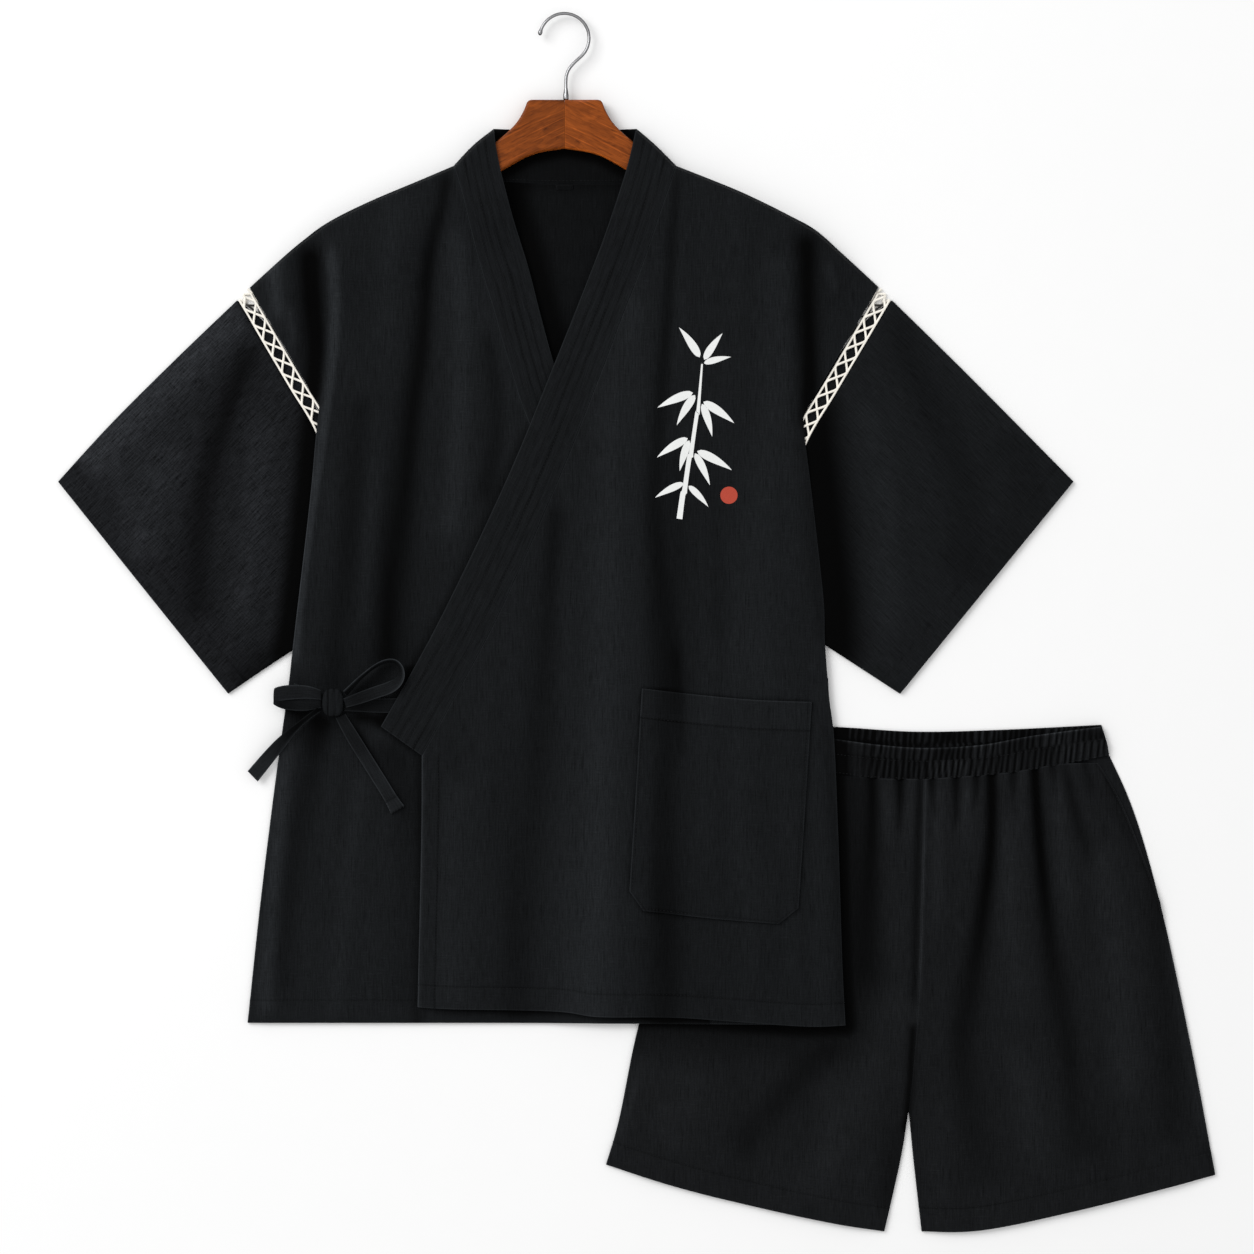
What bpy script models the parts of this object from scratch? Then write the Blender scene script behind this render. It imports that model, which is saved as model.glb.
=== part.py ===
"""A jinbei set laid flat: a wrap jacket on its hanger, and shorts tucked under the jacket's corner.

+X is right, +Y is up the garment, +Z is away from the surface it lies on. The origin is on that
surface, under the middle of the set. Tables are in millimetres, and MM turns them into metres.
"""

import math

import bmesh
import bpy
from mathutils import Vector

MM = 0.001

# Walls and gaps, in millimetres
CLOTH = 1.2
COLLAR = 1.8
BAND = 1.8
SEAM = 0.6
LACE_SEAM = 0.9
LAYER = 0.3
POCKET_EASE = 0.7

# The jacket's cloth over what lies inside it
HANGER_UNDER = 1.5
HANGER_THICK = 12.0
HANGER_BEVEL = 1.6
HANGER_SWELL = 13.0
HANGER_MARGIN = 5.0
HANGER_SLOPE = 78.0
HANGER_CENTRE = -66.6
SHOULDER_ROLL = 5.0
SLEEVE_PASS = 2.6
SLEEVE_PASS_WIDTH = 58.0
LACE_DIP = 262.0
PUFF = 2.6
OVER_LIFT = 3.4
HIDDEN_EASE = 0.3
SLOPE_BRIDGE = 0.6
SHORTS_RISE = 4.4
RISE_MARGIN = 10.0
RISE_SLOPE = 80.0

# Sleeves
SLEEVE_FLAT = 3.4
SLEEVE_PUFF = 2.2
SLEEVE_FOLD = 2.0
SLEEVE_WIDTH = 290.0

# Lace
LACE_WIDTH = 14.4
LACE_PERIOD = 19.0
LACE_CORD = 2.0
LACE_OPEN_PERIODS = 8

# Shorts
SHORTS_PUFF = 4.2
GATHER_PITCH = 7.1
GATHER_RISE = 1.3
GATHER_SWELL = 1.6

# Hook
WIRE = 3.1
HOOK_RADIUS = 23.0
HOOK_CENTRE = (-67.0, 542.9)
HOOK_TIP_ANGLE = 173.0
HOOK_END_ANGLE = -48.0

# Distances from a rolled edge at which a panel has a row of points
ROLL_ROWS = (0.0, 1.7, 3.4, 5.2, 12.0)

# Columns: x, y
SHOULDER_LEFT = [(-170, 425), (-203, 411), (-248, 392), (-286, 373), (-311, 355), (-331, 338),
                 (-360, 311.5)]
SHOULDER_RIGHT = [(37, 425), (85, 406), (112, 394), (142, 379), (167, 365), (192, 343), (225.5, 312)]
NECK_FOLD_LEFT = [(-132.5, 459.5), (-152, 444), (-170, 425)]
NECK_FOLD_RIGHT = [(0, 459.5), (18, 444), (37, 425)]
NECK_SEAM = [(-170, 425), (-136, 412), (-98, 409), (-57, 408.5), (-16, 409), (6, 412), (37, 425)]
COLLAR_TOP = [(-132.5, 459.5), (-66, 457.5), (0, 459.5)]

OVER_FREE = [(0, 459.5), (-9.3, 420), (-26.6, 368), (-45, 319), (-76, 241), (-121, 132), (-183, 2),
             (-237.5, -97)]
OVER_SEAM = [(37, 425), (23, 384), (5, 332), (-14, 283), (-35.4, 226), (-73, 132), (-132, 0),
             (-199.5, -124)]
UNDER_FREE = [(-132.5, 459.5), (-128, 429), (-115.5, 379), (-101, 332), (-89.4, 287), (-77, 242),
              (-60, 192), (-33, 132), (4, 62), (52, -14), (100, -95)]
UNDER_SEAM = [(-170, 425), (-161, 395), (-148, 341), (-134, 294), (-119, 242), (-102, 190),
              (-76, 136), (-40, 62), (10, -33), (62, -122)]
OVER_EDGE = [(-199.5, -124), (-200, -203), (-203.5, -358)]
UNDER_EDGE = [(62, -122), (65, -250), (68, -373.5)]

LACE_LINE_LEFT = [(-360, 311.5), (-295, 201)]
LACE_LINE_RIGHT = [(225.5, 312), (155, 192)]
FOLD_LEFT = [(-295, 201), (-298, 173), (-303, 118), (-314, 23), (-320, -26)]
FOLD_RIGHT = [(155, 192), (157, 169), (164, 113), (174, 23), (175.5, -20)]
SIDE_LEFT = [(-320, -26), (-324, -60), (-336, -147), (-350, -260), (-362, -373)]
SIDE_RIGHT = [(175.5, -20), (179.5, -72), (184, -110), (188, -205), (191.5, -314), (194.5, -375)]
OVER_HEM = [(-203.5, -358), (-170, -360), (-74, -362), (-35, -366.5), (37, -367.5), (91, -371),
            (159, -376), (194.5, -375)]
UNDER_HEM = [(-362, -373), (-150, -373), (68, -373.5)]
BACK_HEM = [(-362, -373), (-100, -372), (194.5, -373)]

ARMHOLE_FRONT_LEFT = [(-371.8, 299.8), (-347.8, 258.6), (-323.7, 217.7), (-299.6, 177), (-284, 127),
                      (-281, 70), (-290, 20), (-310, -28)]
ARMHOLE_BACK_LEFT = [(-371.8, 299.8), (-339, 259), (-307, 213), (-287, 162), (-280, 105), (-285, 45),
                     (-310, -28)]
ARMHOLE_FRONT_RIGHT = [(238, 299.8), (212.3, 256), (186.5, 212.5), (160.7, 169), (144, 122), (140, 70),
                       (148, 20), (166, -24)]
ARMHOLE_BACK_RIGHT = [(238, 299.8), (201, 257), (168, 211), (148, 162), (140, 105), (143, 45),
                      (166, -24)]
SLEEVE_TOP_LEFT = [(-538.5, 131), (-489.5, 187), (-430, 244), (-371.8, 299.8)]
SLEEVE_TOP_RIGHT = [(407, 131), (328, 206.5), (282, 254), (238, 299.8)]
CUFF_LEFT = [(-538.5, 131), (-460, 33), (-380, -66.5)]
CUFF_RIGHT = [(407, 131), (326, 32), (245.5, -66.7)]
UNDERARM_LEFT = [(-380, -66.5), (-350, -45), (-310, -28)]
UNDERARM_RIGHT = [(245.5, -66.7), (210, -43), (166, -24)]

POCKET_TOP = [(5, -61.5), (54, -67), (110, -72), (163, -74)]
POCKET_BOTTOM = [(6.5, -268), (70, -275), (132, -280)]
POCKET_SIDES = ([(5, -61.5), (-0.8, -160), (-6.6, -249.5)], [(163, -74), (157, -170), (150.5, -265.5)])
POCKET_CORNERS = ([(-6.6, -249.5), (6.5, -268)], [(150.5, -265.5), (132, -280)])

# The shorts, from the waist down
WAIST_BACK_TOP = [(100, -96.5), (183, -97.5), (260, -102), (341, -100.2), (433, -95.6)]
WAIST_FRONT_TOP = [(100, -97.5), (140, -103), (184.5, -108.7), (225, -114), (268, -117),
                   (320, -114.3), (368, -105.8), (433, -97)]
WAIST_BOTTOM = [(96.5, -127), (140, -135), (184.5, -141.2), (225, -145.5), (268, -146.2), (341, -141),
                (394, -132.8), (440, -123.6)]
SHORTS_LEFT = [(96.5, -127), (76, -165), (58, -205), (43, -260), (28, -305), (2.4, -375), (-16, -463),
               (-28.3, -505.5)]
SHORTS_CENTRE = [(268, -146.2), (267, -207), (264, -314), (260.5, -378), (253.5, -455)]
SHORTS_RIGHT = [(440, -123.6), (457, -160), (472.6, -188), (489, -261), (499.5, -314), (519, -421),
                (538.5, -514)]
INSEAM_LEFT = [(252.5, -456), (246, -500), (230.8, -567.2)]
INSEAM_RIGHT = [(254.5, -456), (258, -500), (265.6, -567.2)]
HEM_LEFT = [(-28.3, -505.5), (37, -526), (108, -543.7), (180, -559), (230.8, -567.2)]
HEM_RIGHT = [(265.6, -567.2), (325, -565.3), (424, -544), (538.5, -514)]
POCKET_MOUTH = [(430, -131.5), (444, -154), (457, -181), (476, -227), (489, -261)]

# Columns: x and y of one end, x and y of the other, half width, height (a trough is negative)
JACKET_FOLDS = [
    (-306, 352, -297, 215, 8, -4.5),
    (-285, 345, -281, 180, 6, 2.0),
    (-177, 414, -190, 320, 9, -2.2),
    (-194, 330, -222, 60, 16, -1.6),
    (158, 352, 154, 190, 8, -4.5),
    (40, 414, 36, 350, 6, -1.5),
    (20, 330, 30, -340, 17, -1.6),
    (118, 100, 128, -340, 22, -1.3),
    (-112, 0, -100, -320, 20, -1.3),
]
SHORTS_FOLDS = [
    (325, -152, 312, -330, 8, -2.6),
    (376, -152, 388, -330, 9, -2.4),
    (398, -150, 412, -190, 6, -2.0),
    (246, -150, 247, -200, 7, -1.6),
    (297, -150, 294, -200, 6, -1.6),
    (185, -405, 95, -495, 16, -2.2),
]

# Hanger half, from its middle outwards and back. Columns: distance from the middle, y
HANGER_UPPER = [(34.3, 485.1), (38.3, 474.5), (46.7, 461.5), (63.4, 446.3), (83, 432), (103, 418.5),
                (151, 397.5), (195, 377.5), (214, 366.5), (224, 358.5)]
HANGER_END = [(228.5, 350), (224, 342.5), (214, 341)]
HANGER_LOWER = [(190, 352.5), (151, 370.5), (103, 394), (80, 407), (57.4, 420.5), (30, 435), (0.15, 440.6)]

# Ties. Columns: x, y, height above the cloth, width, heading of the width in degrees
TIE_FROM_COLLAR = [(-217, -77.5, 0.4, 14, 90), (-240, -77.5, 0.5, 13.5, 90), (-256, -77, 1.4, 13, 90),
                   (-271.4, -76.5, 2.6, 12, 90)]
TIE_FROM_SIDE = [(-320, -63, 0.4, 13, 78), (-306, -68, 0.6, 13, 80), (-292.6, -72, 1.8, 12, 84)]
LOOP_LEFT = [(-292.6, -68, 4.0, 9, 92), (-306, -65.5, 4.0, 11, 94), (-326, -66, 3.8, 12.5, 92),
             (-336.5, -69.5, 5.2, 12, 88), (-326, -74.5, 6.8, 11.5, 84), (-308, -76, 6.8, 11, 84),
             (-292.6, -75, 6.6, 9, 90)]
LOOP_RIGHT = [(-270.4, -67, 4.6, 8, 105), (-254, -53, 5.0, 10, 128), (-234, -40, 4.4, 11, 124),
              (-222.5, -41, 5.4, 12, 124), (-229, -53.5, 7.2, 12, 124), (-249, -65.5, 7.6, 12, 120),
              (-270.6, -76, 7.4, 9, 100)]
TAIL_LEFT = [(-294.9, -81, 2.2, 9, 125), (-313, -94, 0.9, 11, 130), (-332, -112, 0.6, 12, 134),
             (-356.8, -143.3, 0.6, 12.5, 134)]
TAIL_RIGHT = [(-274, -91, 2.4, 9, 20), (-262, -108, 0.9, 11.5, 26), (-243, -140, 0.6, 12, 28),
              (-222, -174.5, 0.6, 12, 30)]
KNOT_CENTRE = (-282, -74.5)
KNOT_SIZE = (20.0, 26.0, 8.4)
NECK_LOOP = (-67, 405, 16, 4.6)

COLOURS = {
    "cloth": ((0.012, 0.0135, 0.0155, 1), 0.85, 0.0),
    "lace": ((0.82, 0.77, 0.69, 1), 0.8, 0.0),
    "wood": ((0.25, 0.062, 0.015, 1), 0.38, 0.0),
    "steel": ((0.72, 0.72, 0.73, 1), 0.18, 1.0),
}


def ease(t):
    """0 below 0, 1 above 1, and a smooth step between."""
    t = min(max(t, 0.0), 1.0)
    return t * t * (3.0 - 2.0 * t)


def curve_through(points, steps=8):
    """A smooth curve through a table's rows, or a line of straight runs where steps is 1.

    Its parameter runs from 0 to 1 by length.
    """
    last = len(points) - 1
    dense = [tuple(points[0])]
    for i in range(last):
        four = (points[max(i - 1, 0)], points[i], points[i + 1], points[min(i + 2, last)])
        for k in range(1, steps + 1):
            t = k / steps
            dense.append(tuple(
                0.5 * (2 * b + (c - a) * t + (2 * a - 5 * b + 4 * c - d) * t ** 2
                       + (3 * b - a - 3 * c + d) * t ** 3)
                for a, b, c, d in zip(*four)))
    reach = [0.0]
    for p, q in zip(dense, dense[1:]):
        reach.append(reach[-1] + math.hypot(q[0] - p[0], q[1] - p[1]))

    def at(t):
        target = min(max(t, 0.0), 1.0) * reach[-1]
        i = 1
        while i < len(dense) - 1 and reach[i] < target:
            i += 1
        share = (target - reach[i - 1]) / max(reach[i] - reach[i - 1], 1e-9)
        return tuple(a + (b - a) * share for a, b in zip(dense[i - 1], dense[i]))

    at.length = reach[-1]
    return at


def distance_to(points, x, y):
    """Distance from (x, y) to the line through a table's points."""
    best = 1e9
    for (ax, ay), (bx, by) in zip(points, points[1:]):
        dx, dy = bx - ax, by - ay
        share = ((x - ax) * dx + (y - ay) * dy) / max(dx * dx + dy * dy, 1e-9)
        share = min(max(share, 0.0), 1.0)
        best = min(best, math.hypot(x - ax - dx * share, y - ay - dy * share))
    return best


def is_inside(outline, x, y):
    """True where (x, y) lies inside a closed outline."""
    inside = False
    for (ax, ay), (bx, by) in zip(outline, outline[1:] + outline[:1]):
        if (ay > y) != (by > y) and x < ax + (y - ay) * (bx - ax) / (by - ay):
            inside = not inside
    return inside


def outside_distance(outline, x, y):
    """Distance outside a closed outline, and 0 inside it."""
    return 0.0 if is_inside(outline, x, y) else distance_to(outline + outline[:1], x, y)


def x_at(table, y):
    """x on a table's line at a height y, for a table that runs steadily down."""
    for (ax, ay), (bx, by) in zip(table, table[1:]):
        if by <= y <= ay:
            return ax + (bx - ax) * (ay - y) / (ay - by)
    return table[0][0] if y > table[0][1] else table[-1][0]


HANGER_HALF = [(0.15, 485.1)] + HANGER_UPPER + HANGER_END + HANGER_LOWER
HANGER_OUTLINE = ([(HANGER_CENTRE + d, y) for d, y in HANGER_HALF]
                  + [(HANGER_CENTRE - d, y) for d, y in reversed(HANGER_HALF)])
SHORTS_OUTLINE = SHORTS_LEFT + HEM_LEFT[1:] + HEM_RIGHT + list(reversed(SHORTS_RIGHT)) + WAIST_BACK_TOP[::-1]
JACKET_TOP = (NECK_FOLD_LEFT + SHOULDER_LEFT[1:], NECK_FOLD_RIGHT + SHOULDER_RIGHT[1:])
JACKET_CORNER = SIDE_RIGHT + OVER_HEM[::-1][1:]
FRONT_EDGE = OVER_FREE + OVER_EDGE


def folds(table, x, y):
    """Height that a table of folds adds: each is a soft ridge or trough that dies out at its ends."""
    total = 0.0
    for ax, ay, bx, by, half_width, height in table:
        dx, dy = bx - ax, by - ay
        length = math.hypot(dx, dy)
        along = ((x - ax) * dx + (y - ay) * dy) / length
        across = abs((x - ax) * dy - (y - ay) * dx) / length
        fade = min(60.0, 0.3 * length)
        ends = ease(1 + along / fade) * ease(1 + (length - along) / fade)
        total += height * ends * math.exp(-(across / half_width) ** 2)
    return total


def back_under(x, y):
    """Underside of the jacket's back: on the floor, and over the hidden part of the shorts."""
    d = outside_distance(SHORTS_OUTLINE, x, y)
    return SHORTS_RISE * ease(1 - (d - RISE_MARGIN) / RISE_SLOPE)


def front_floor(x, y):
    """What the fronts lie on: the back's top, which they bridge a little where it slopes."""
    under = back_under(x, y)
    share = under / SHORTS_RISE
    return under + CLOTH + LAYER + SLOPE_BRIDGE * min(1.0, 8 * share * (1 - share))


def front_swell(x, y):
    """How far the jacket's fronts stand off the back, for the hanger, the sleeve heads and the drape."""
    top = min(distance_to(line, x, y) for line in JACKET_TOP)
    off_hanger = outside_distance(HANGER_OUTLINE, x, y) - HANGER_MARGIN
    hanger = HANGER_SWELL * ease(1 - off_hanger / HANGER_SLOPE)
    armhole = min(distance_to(LACE_LINE_LEFT + FOLD_LEFT[1:], x, y),
                  distance_to(LACE_LINE_RIGHT + FOLD_RIGHT[1:], x, y))
    sleeve = SLEEVE_PASS * ease(1.5 - armhole / SLEEVE_PASS_WIDTH) * ease(1 - (-27 - y) / 45)
    side = min(distance_to(SIDE_LEFT, x, y), distance_to(SIDE_RIGHT, x, y))
    drape = PUFF * ease(side / 45) * (0.35 + 0.65 * ease((y + 372) / 70))
    swell = (hanger ** 3 + sleeve ** 3 + drape ** 3) ** (1 / 3)
    swell += folds(JACKET_FOLDS, x, y) * ease(side / 30) * ease(off_hanger / 12)
    return ease(top / SHOULDER_ROLL) * max(swell, sleeve * ease((LACE_DIP - y) / 30), 0.0)


def under_front_under(x, y):
    """Underside of the under front and its collar: it lies close where the over front covers it."""
    covered = ease((x - x_at(FRONT_EDGE, y) - 6) / 50) * ease((300 - y) / 60)
    return front_floor(x, y) + HIDDEN_EASE * covered + front_swell(x, y) * (1 - covered)


def over_front_under(x, y):
    """Underside of the over front and its collar, which pass over the under front and its collar."""
    lift = OVER_LIFT * ease((170 - x) / 60) * ease((345 - y) / 80)
    return front_floor(x, y) + front_swell(x, y) + lift


def shorts_shown(x, y):
    """0 where the jacket covers the shorts, and 1 once well clear of its edge."""
    if x < x_at(SIDE_RIGHT, y) and y > SIDE_RIGHT[-1][1]:
        return 0.0
    return ease((distance_to(JACKET_CORNER, x, y) - 4) / 45)


def shorts_back_under(x, y):
    """Underside of the shorts' back: flat, but for the roll that reaches round to the pocket's mouth."""
    mouth = distance_to(POCKET_MOUTH, x, y)
    side = distance_to(SHORTS_RIGHT, x, y)
    return 1.6 * ease(1 - mouth / 16) * ease(side / 9)


def shorts_front_under(x, y):
    """Underside of the shorts' front, with its soft folds."""
    side = min(distance_to(SHORTS_LEFT, x, y), distance_to(SHORTS_RIGHT, x, y),
               distance_to(INSEAM_LEFT, x, y) + 3, distance_to(INSEAM_RIGHT, x, y) + 3)
    mouth = distance_to(POCKET_MOUTH, x, y)
    swell = SHORTS_PUFF * ease(side / 42) * (0.45 + 0.55 * ease(distance_to(HEM_LEFT + HEM_RIGHT, x, y) / 60))
    swell += folds(SHORTS_FOLDS, x, y) * ease(side / 30)
    swell = max(swell, 0.0) * shorts_shown(x, y)
    over_mouth = 1.7 * ease(1.3 - mouth / 20)
    return CLOTH + LAYER + max(swell, over_mouth)


def rows_along(length, step, first_rows=(0.0,)):
    """Shares of a length for a panel's rows: the first ones at given distances, the rest evenly spaced."""
    shares = [distance / length for distance in first_rows]
    count = max(round((1 - shares[-1]) * length / step), 1)
    return shares + [shares[-1] + (1 - shares[-1]) * k / count for k in range(1, count + 1)]


def stretch(curve, start, end):
    """The part of a curve between two shares of its length."""
    def at(t):
        return curve(start + (end - start) * t)

    at.length = curve.length * (end - start)
    return at


def joined(curves):
    """Curves run together, and the share of the whole length at which each one ends."""
    total = sum(curve.length for curve in curves)
    ends = []
    for curve in curves:
        ends.append((ends[-1] if ends else 0.0) + curve.length / total)

    def at(t):
        start = 0.0
        for curve, end in zip(curves, ends):
            if t <= end + 1e-9:
                break
            start = end
        return curve((t - start) / (end - start))

    at.length = total
    return at, ends


def off_curve(curve, share, distance):
    """The point at a distance to the left of a curve."""
    (ax, ay), (bx, by) = curve(share - 0.01), curve(share + 0.01)
    run = math.hypot(bx - ax, by - ay)
    x, y = curve(share)
    return x - (by - ay) / run * distance, y + (bx - ax) / run * distance


def beside(curve, distance, count=14):
    """A table of points at a distance to the left of a curve."""
    return [off_curve(curve, k / count, distance) for k in range(count + 1)]


def patch(top, bottom, legs, columns):
    """Rows of (x, y) between a top and a bottom curve. Each leg is (left curve, right curve, row shares)."""
    lengths = [left.length + right.length for left, right, shares in legs]
    sides = []
    for number, (left, right, shares) in enumerate(legs):
        for share in shares[1 if number else 0:]:
            v = (sum(lengths[:number]) + share * lengths[number]) / sum(lengths)
            sides.append((v, left(share), right(share)))
    rows = []
    for v, left, right in sides:
        row = []
        for u in columns:
            point = []
            for axis in range(2):
                straight = left[axis] + (right[axis] - left[axis]) * u
                bow_top = top(u)[axis] - (top(0)[axis] + (top(1)[axis] - top(0)[axis]) * u)
                bow_bottom = bottom(u)[axis] - (bottom(0)[axis] + (bottom(1)[axis] - bottom(0)[axis]) * u)
                point.append(straight + (1 - v) * bow_top + v * bow_bottom)
            row.append(tuple(point))
        rows.append(row)
    return rows


def evenly(count, start=0.0, end=1.0):
    """count steps from start to end."""
    return [start + (end - start) * k / count for k in range(count + 1)]


SLEEVE_RIM = [0.0, 0.18 * SLEEVE_FOLD / SLEEVE_WIDTH, SLEEVE_FOLD / SLEEVE_WIDTH]
SLEEVE_COLUMNS = SLEEVE_RIM + evenly(9, 0.05, 0.95) + [1 - share for share in reversed(SLEEVE_RIM)]


def raise_rows(rows, height):
    """Give each (x, y) its height, in metres."""
    return [[Vector((x, y, height(x, y))) * MM for x, y in row] for row in rows]


def make_material(name):
    """A plain material in the colour, roughness and metallic value of one of the set's materials."""
    colour, roughness, metallic = COLOURS[name]
    material = bpy.data.materials.new(name)
    material.use_nodes = True
    shader = material.node_tree.nodes["Principled BSDF"]
    shader.inputs["Base Color"].default_value = colour
    shader.inputs["Roughness"].default_value = roughness
    shader.inputs["Metallic"].default_value = metallic
    material.diffuse_color = colour
    return material


def add_object(name, data, material):
    """Put a named object with its own material in the set's collection."""
    thing = bpy.data.objects.new(name, data)
    data.materials.append(make_material(material))
    bpy.data.collections["jinbei_set"].objects.link(thing)
    return thing


def grid_mesh(name, rows, around=False, flip=False):
    """An open surface through rows of points. around joins each row's end to its start."""
    mesh = bpy.data.meshes.new(name)
    bm = bmesh.new()
    verts = [[bm.verts.new(point) for point in row] for row in rows]
    for upper, lower in zip(verts, verts[1:]):
        count = len(upper)
        for c in range(count if around else count - 1):
            d = (c + 1) % count
            face = (upper[c], lower[c], lower[d], upper[d])
            bm.faces.new(face[::-1] if flip else face)
    bm.to_mesh(mesh)
    bm.free()
    return mesh


def cloth(name, rows, thickness=CLOTH, side=1.0, around=False, flip=False, material="cloth"):
    """A cloth wall: a surface given its thickness on one side."""
    thing = add_object(name, grid_mesh(name, rows, around, flip), material)
    solid = thing.modifiers.new("Wall", "SOLIDIFY")
    solid.thickness = thickness * MM
    solid.offset = side
    return thing


def mesh_of_curve(name, splines, extrude, bevel=0.0, segments=2):
    """A flat outline with its holes, given a thickness, as a mesh with its caps welded on."""
    data = bpy.data.curves.new(name, "CURVE")
    data.dimensions = "2D"
    data.fill_mode = "BOTH"
    data.extrude = (extrude - bevel) * MM
    data.bevel_depth = bevel * MM
    data.bevel_resolution = segments
    data.offset = -bevel * MM
    for points in splines:
        spline = data.splines.new("POLY")
        spline.points.add(len(points) - 1)
        for point, (x, y) in zip(spline.points, points):
            point.co = (x * MM, y * MM, 0, 1)
        spline.use_cyclic_u = True
    guide = bpy.data.objects.new(name + "_guide", data)
    bpy.data.collections["jinbei_set"].objects.link(guide)
    bpy.context.view_layer.update()
    mesh = bpy.data.meshes.new_from_object(guide.evaluated_get(bpy.context.evaluated_depsgraph_get()))
    bpy.data.objects.remove(guide)
    bpy.data.curves.remove(data)
    bm = bmesh.new()
    bm.from_mesh(mesh)
    bmesh.ops.remove_doubles(bm, verts=bm.verts, dist=1e-6)
    bm.to_mesh(mesh)
    bm.free()
    mesh.name = name
    return mesh


def rounded_box(name, centre, size, bevel, material):
    """A box with rounded edges."""
    bm = bmesh.new()
    bmesh.ops.create_cube(bm, size=1)
    bmesh.ops.scale(bm, verts=bm.verts, vec=Vector(size) * MM)
    mesh = bpy.data.meshes.new(name)
    bm.to_mesh(mesh)
    bm.free()
    box = add_object(name, mesh, material)
    box.location = Vector(centre) * MM
    edges = box.modifiers.new("Edges", "BEVEL")
    edges.width = bevel * MM
    edges.segments = 2
    return box


def build_jacket_back():
    """The back: one panel from the shoulders and the neck seam down to the hem."""
    inner = LACE_WIDTH + 2 * LACE_SEAM + SEAM
    left_hole = beside(armhole_line(ARMHOLE_BACK_LEFT), inner)
    right_hole = beside(armhole_line(ARMHOLE_BACK_RIGHT), -inner)
    left_corner, right_corner = (-323, -54), (178.5, -52)
    left_side = curve_through([left_corner] + SIDE_LEFT[1:])
    right_side = curve_through([right_corner] + SIDE_RIGHT[1:])
    legs = [
        (curve_through([SHOULDER_LEFT[-1]] + left_hole[1:]),
         curve_through([SHOULDER_RIGHT[-1]] + right_hole[1:]), rows_along(350, 32)),
        (curve_through([left_hole[-1], left_corner]),
         curve_through([right_hole[-1], right_corner]), [0.0, 1.0]),
        (left_side, right_side, rows_along(left_side.length, 28)),
    ]
    top, ends = joined([curve_through(SHOULDER_LEFT[::-1]), curve_through(NECK_SEAM),
                        curve_through(SHOULDER_RIGHT)])
    columns = evenly(5, 0, ends[0]) + evenly(8, ends[0], ends[1])[1:] + evenly(6, ends[1], 1)[1:]
    rows = patch(top, curve_through(BACK_HEM), legs, columns)
    cloth("jacket_back", raise_rows(rows, back_under))


def build_fronts():
    """The over front and the under front, each from the shoulder to the hem."""
    over_seam, under_seam = curve_through(OVER_SEAM), curve_through(UNDER_SEAM)
    left_side = curve_through(FOLD_LEFT + SIDE_LEFT[1:])
    right_side = curve_through(FOLD_RIGHT + SIDE_RIGHT[1:])
    left_lace, right_lace = curve_through(LACE_LINE_LEFT), curve_through(LACE_LINE_RIGHT)
    legs = [
        (stretch(over_seam, 0, 0.22), right_lace, rows_along(right_lace.length, 21, ROLL_ROWS)),
        (stretch(over_seam, 0.22, 1), stretch(right_side, 0, 0.56), rows_along(400, 28)),
        (curve_through(OVER_EDGE), stretch(right_side, 0.56, 1), rows_along(240, 27)),
    ]
    rows = patch(curve_through(SHOULDER_RIGHT), curve_through(OVER_HEM), legs, evenly(19))
    cloth("front_over", raise_rows(rows, over_front_under))
    legs = [
        (left_lace, stretch(under_seam, 0, 0.22), rows_along(left_lace.length, 21, ROLL_ROWS)),
        (stretch(left_side, 0, 0.56), stretch(under_seam, 0.22, 1), rows_along(400, 28)),
        (stretch(left_side, 0.56, 1), curve_through(UNDER_EDGE), rows_along(240, 27)),
    ]
    columns = evenly(10, 0, 0.62) + evenly(3, 0.62, 1)[1:]
    rows = patch(curve_through(SHOULDER_LEFT[::-1]), curve_through(UNDER_HEM), legs, columns)
    cloth("front_under", raise_rows(rows, under_front_under))


def build_collar():
    """The collar band in its three stretches: over front, under front and round the back of the neck."""
    seam_share = SEAM / 48
    over_free, over_seam = curve_through(OVER_FREE), curve_through(OVER_SEAM)
    shares = rows_along(over_free.length, 22, ROLL_ROWS)
    rows = patch(curve_through(NECK_FOLD_RIGHT), curve_through([OVER_FREE[-1], OVER_SEAM[-1]]),
                 [(over_free, over_seam, shares)], evenly(4, 0, 1 - seam_share))
    cloth("collar_over", raise_rows(rows, over_front_under), COLLAR)
    under_free, under_seam = curve_through(UNDER_FREE), curve_through(UNDER_SEAM)
    shares = rows_along(under_free.length, 24, ROLL_ROWS)
    rows = patch(curve_through(NECK_FOLD_LEFT[::-1]), curve_through([UNDER_SEAM[-1], UNDER_FREE[-1]]),
                 [(under_seam, under_free, shares)], evenly(4, seam_share, 1))
    cloth("collar_under", raise_rows(rows, under_front_under), COLLAR)
    neck_seam = curve_through([(x, y + 1.5 * SEAM) for x, y in NECK_SEAM])
    rows = patch(curve_through(COLLAR_TOP), neck_seam,
                 [(curve_through(NECK_FOLD_LEFT), curve_through(NECK_FOLD_RIGHT), evenly(2))], evenly(8))
    cloth("collar_back", raise_rows(rows, lambda x, y: 0.0))


def armhole_line(table):
    """The straight runs between a sleeve's points at its armhole."""
    curve = curve_through(table)
    return curve_through([curve(share) for share in SLEEVE_COLUMNS], 1)


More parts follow.
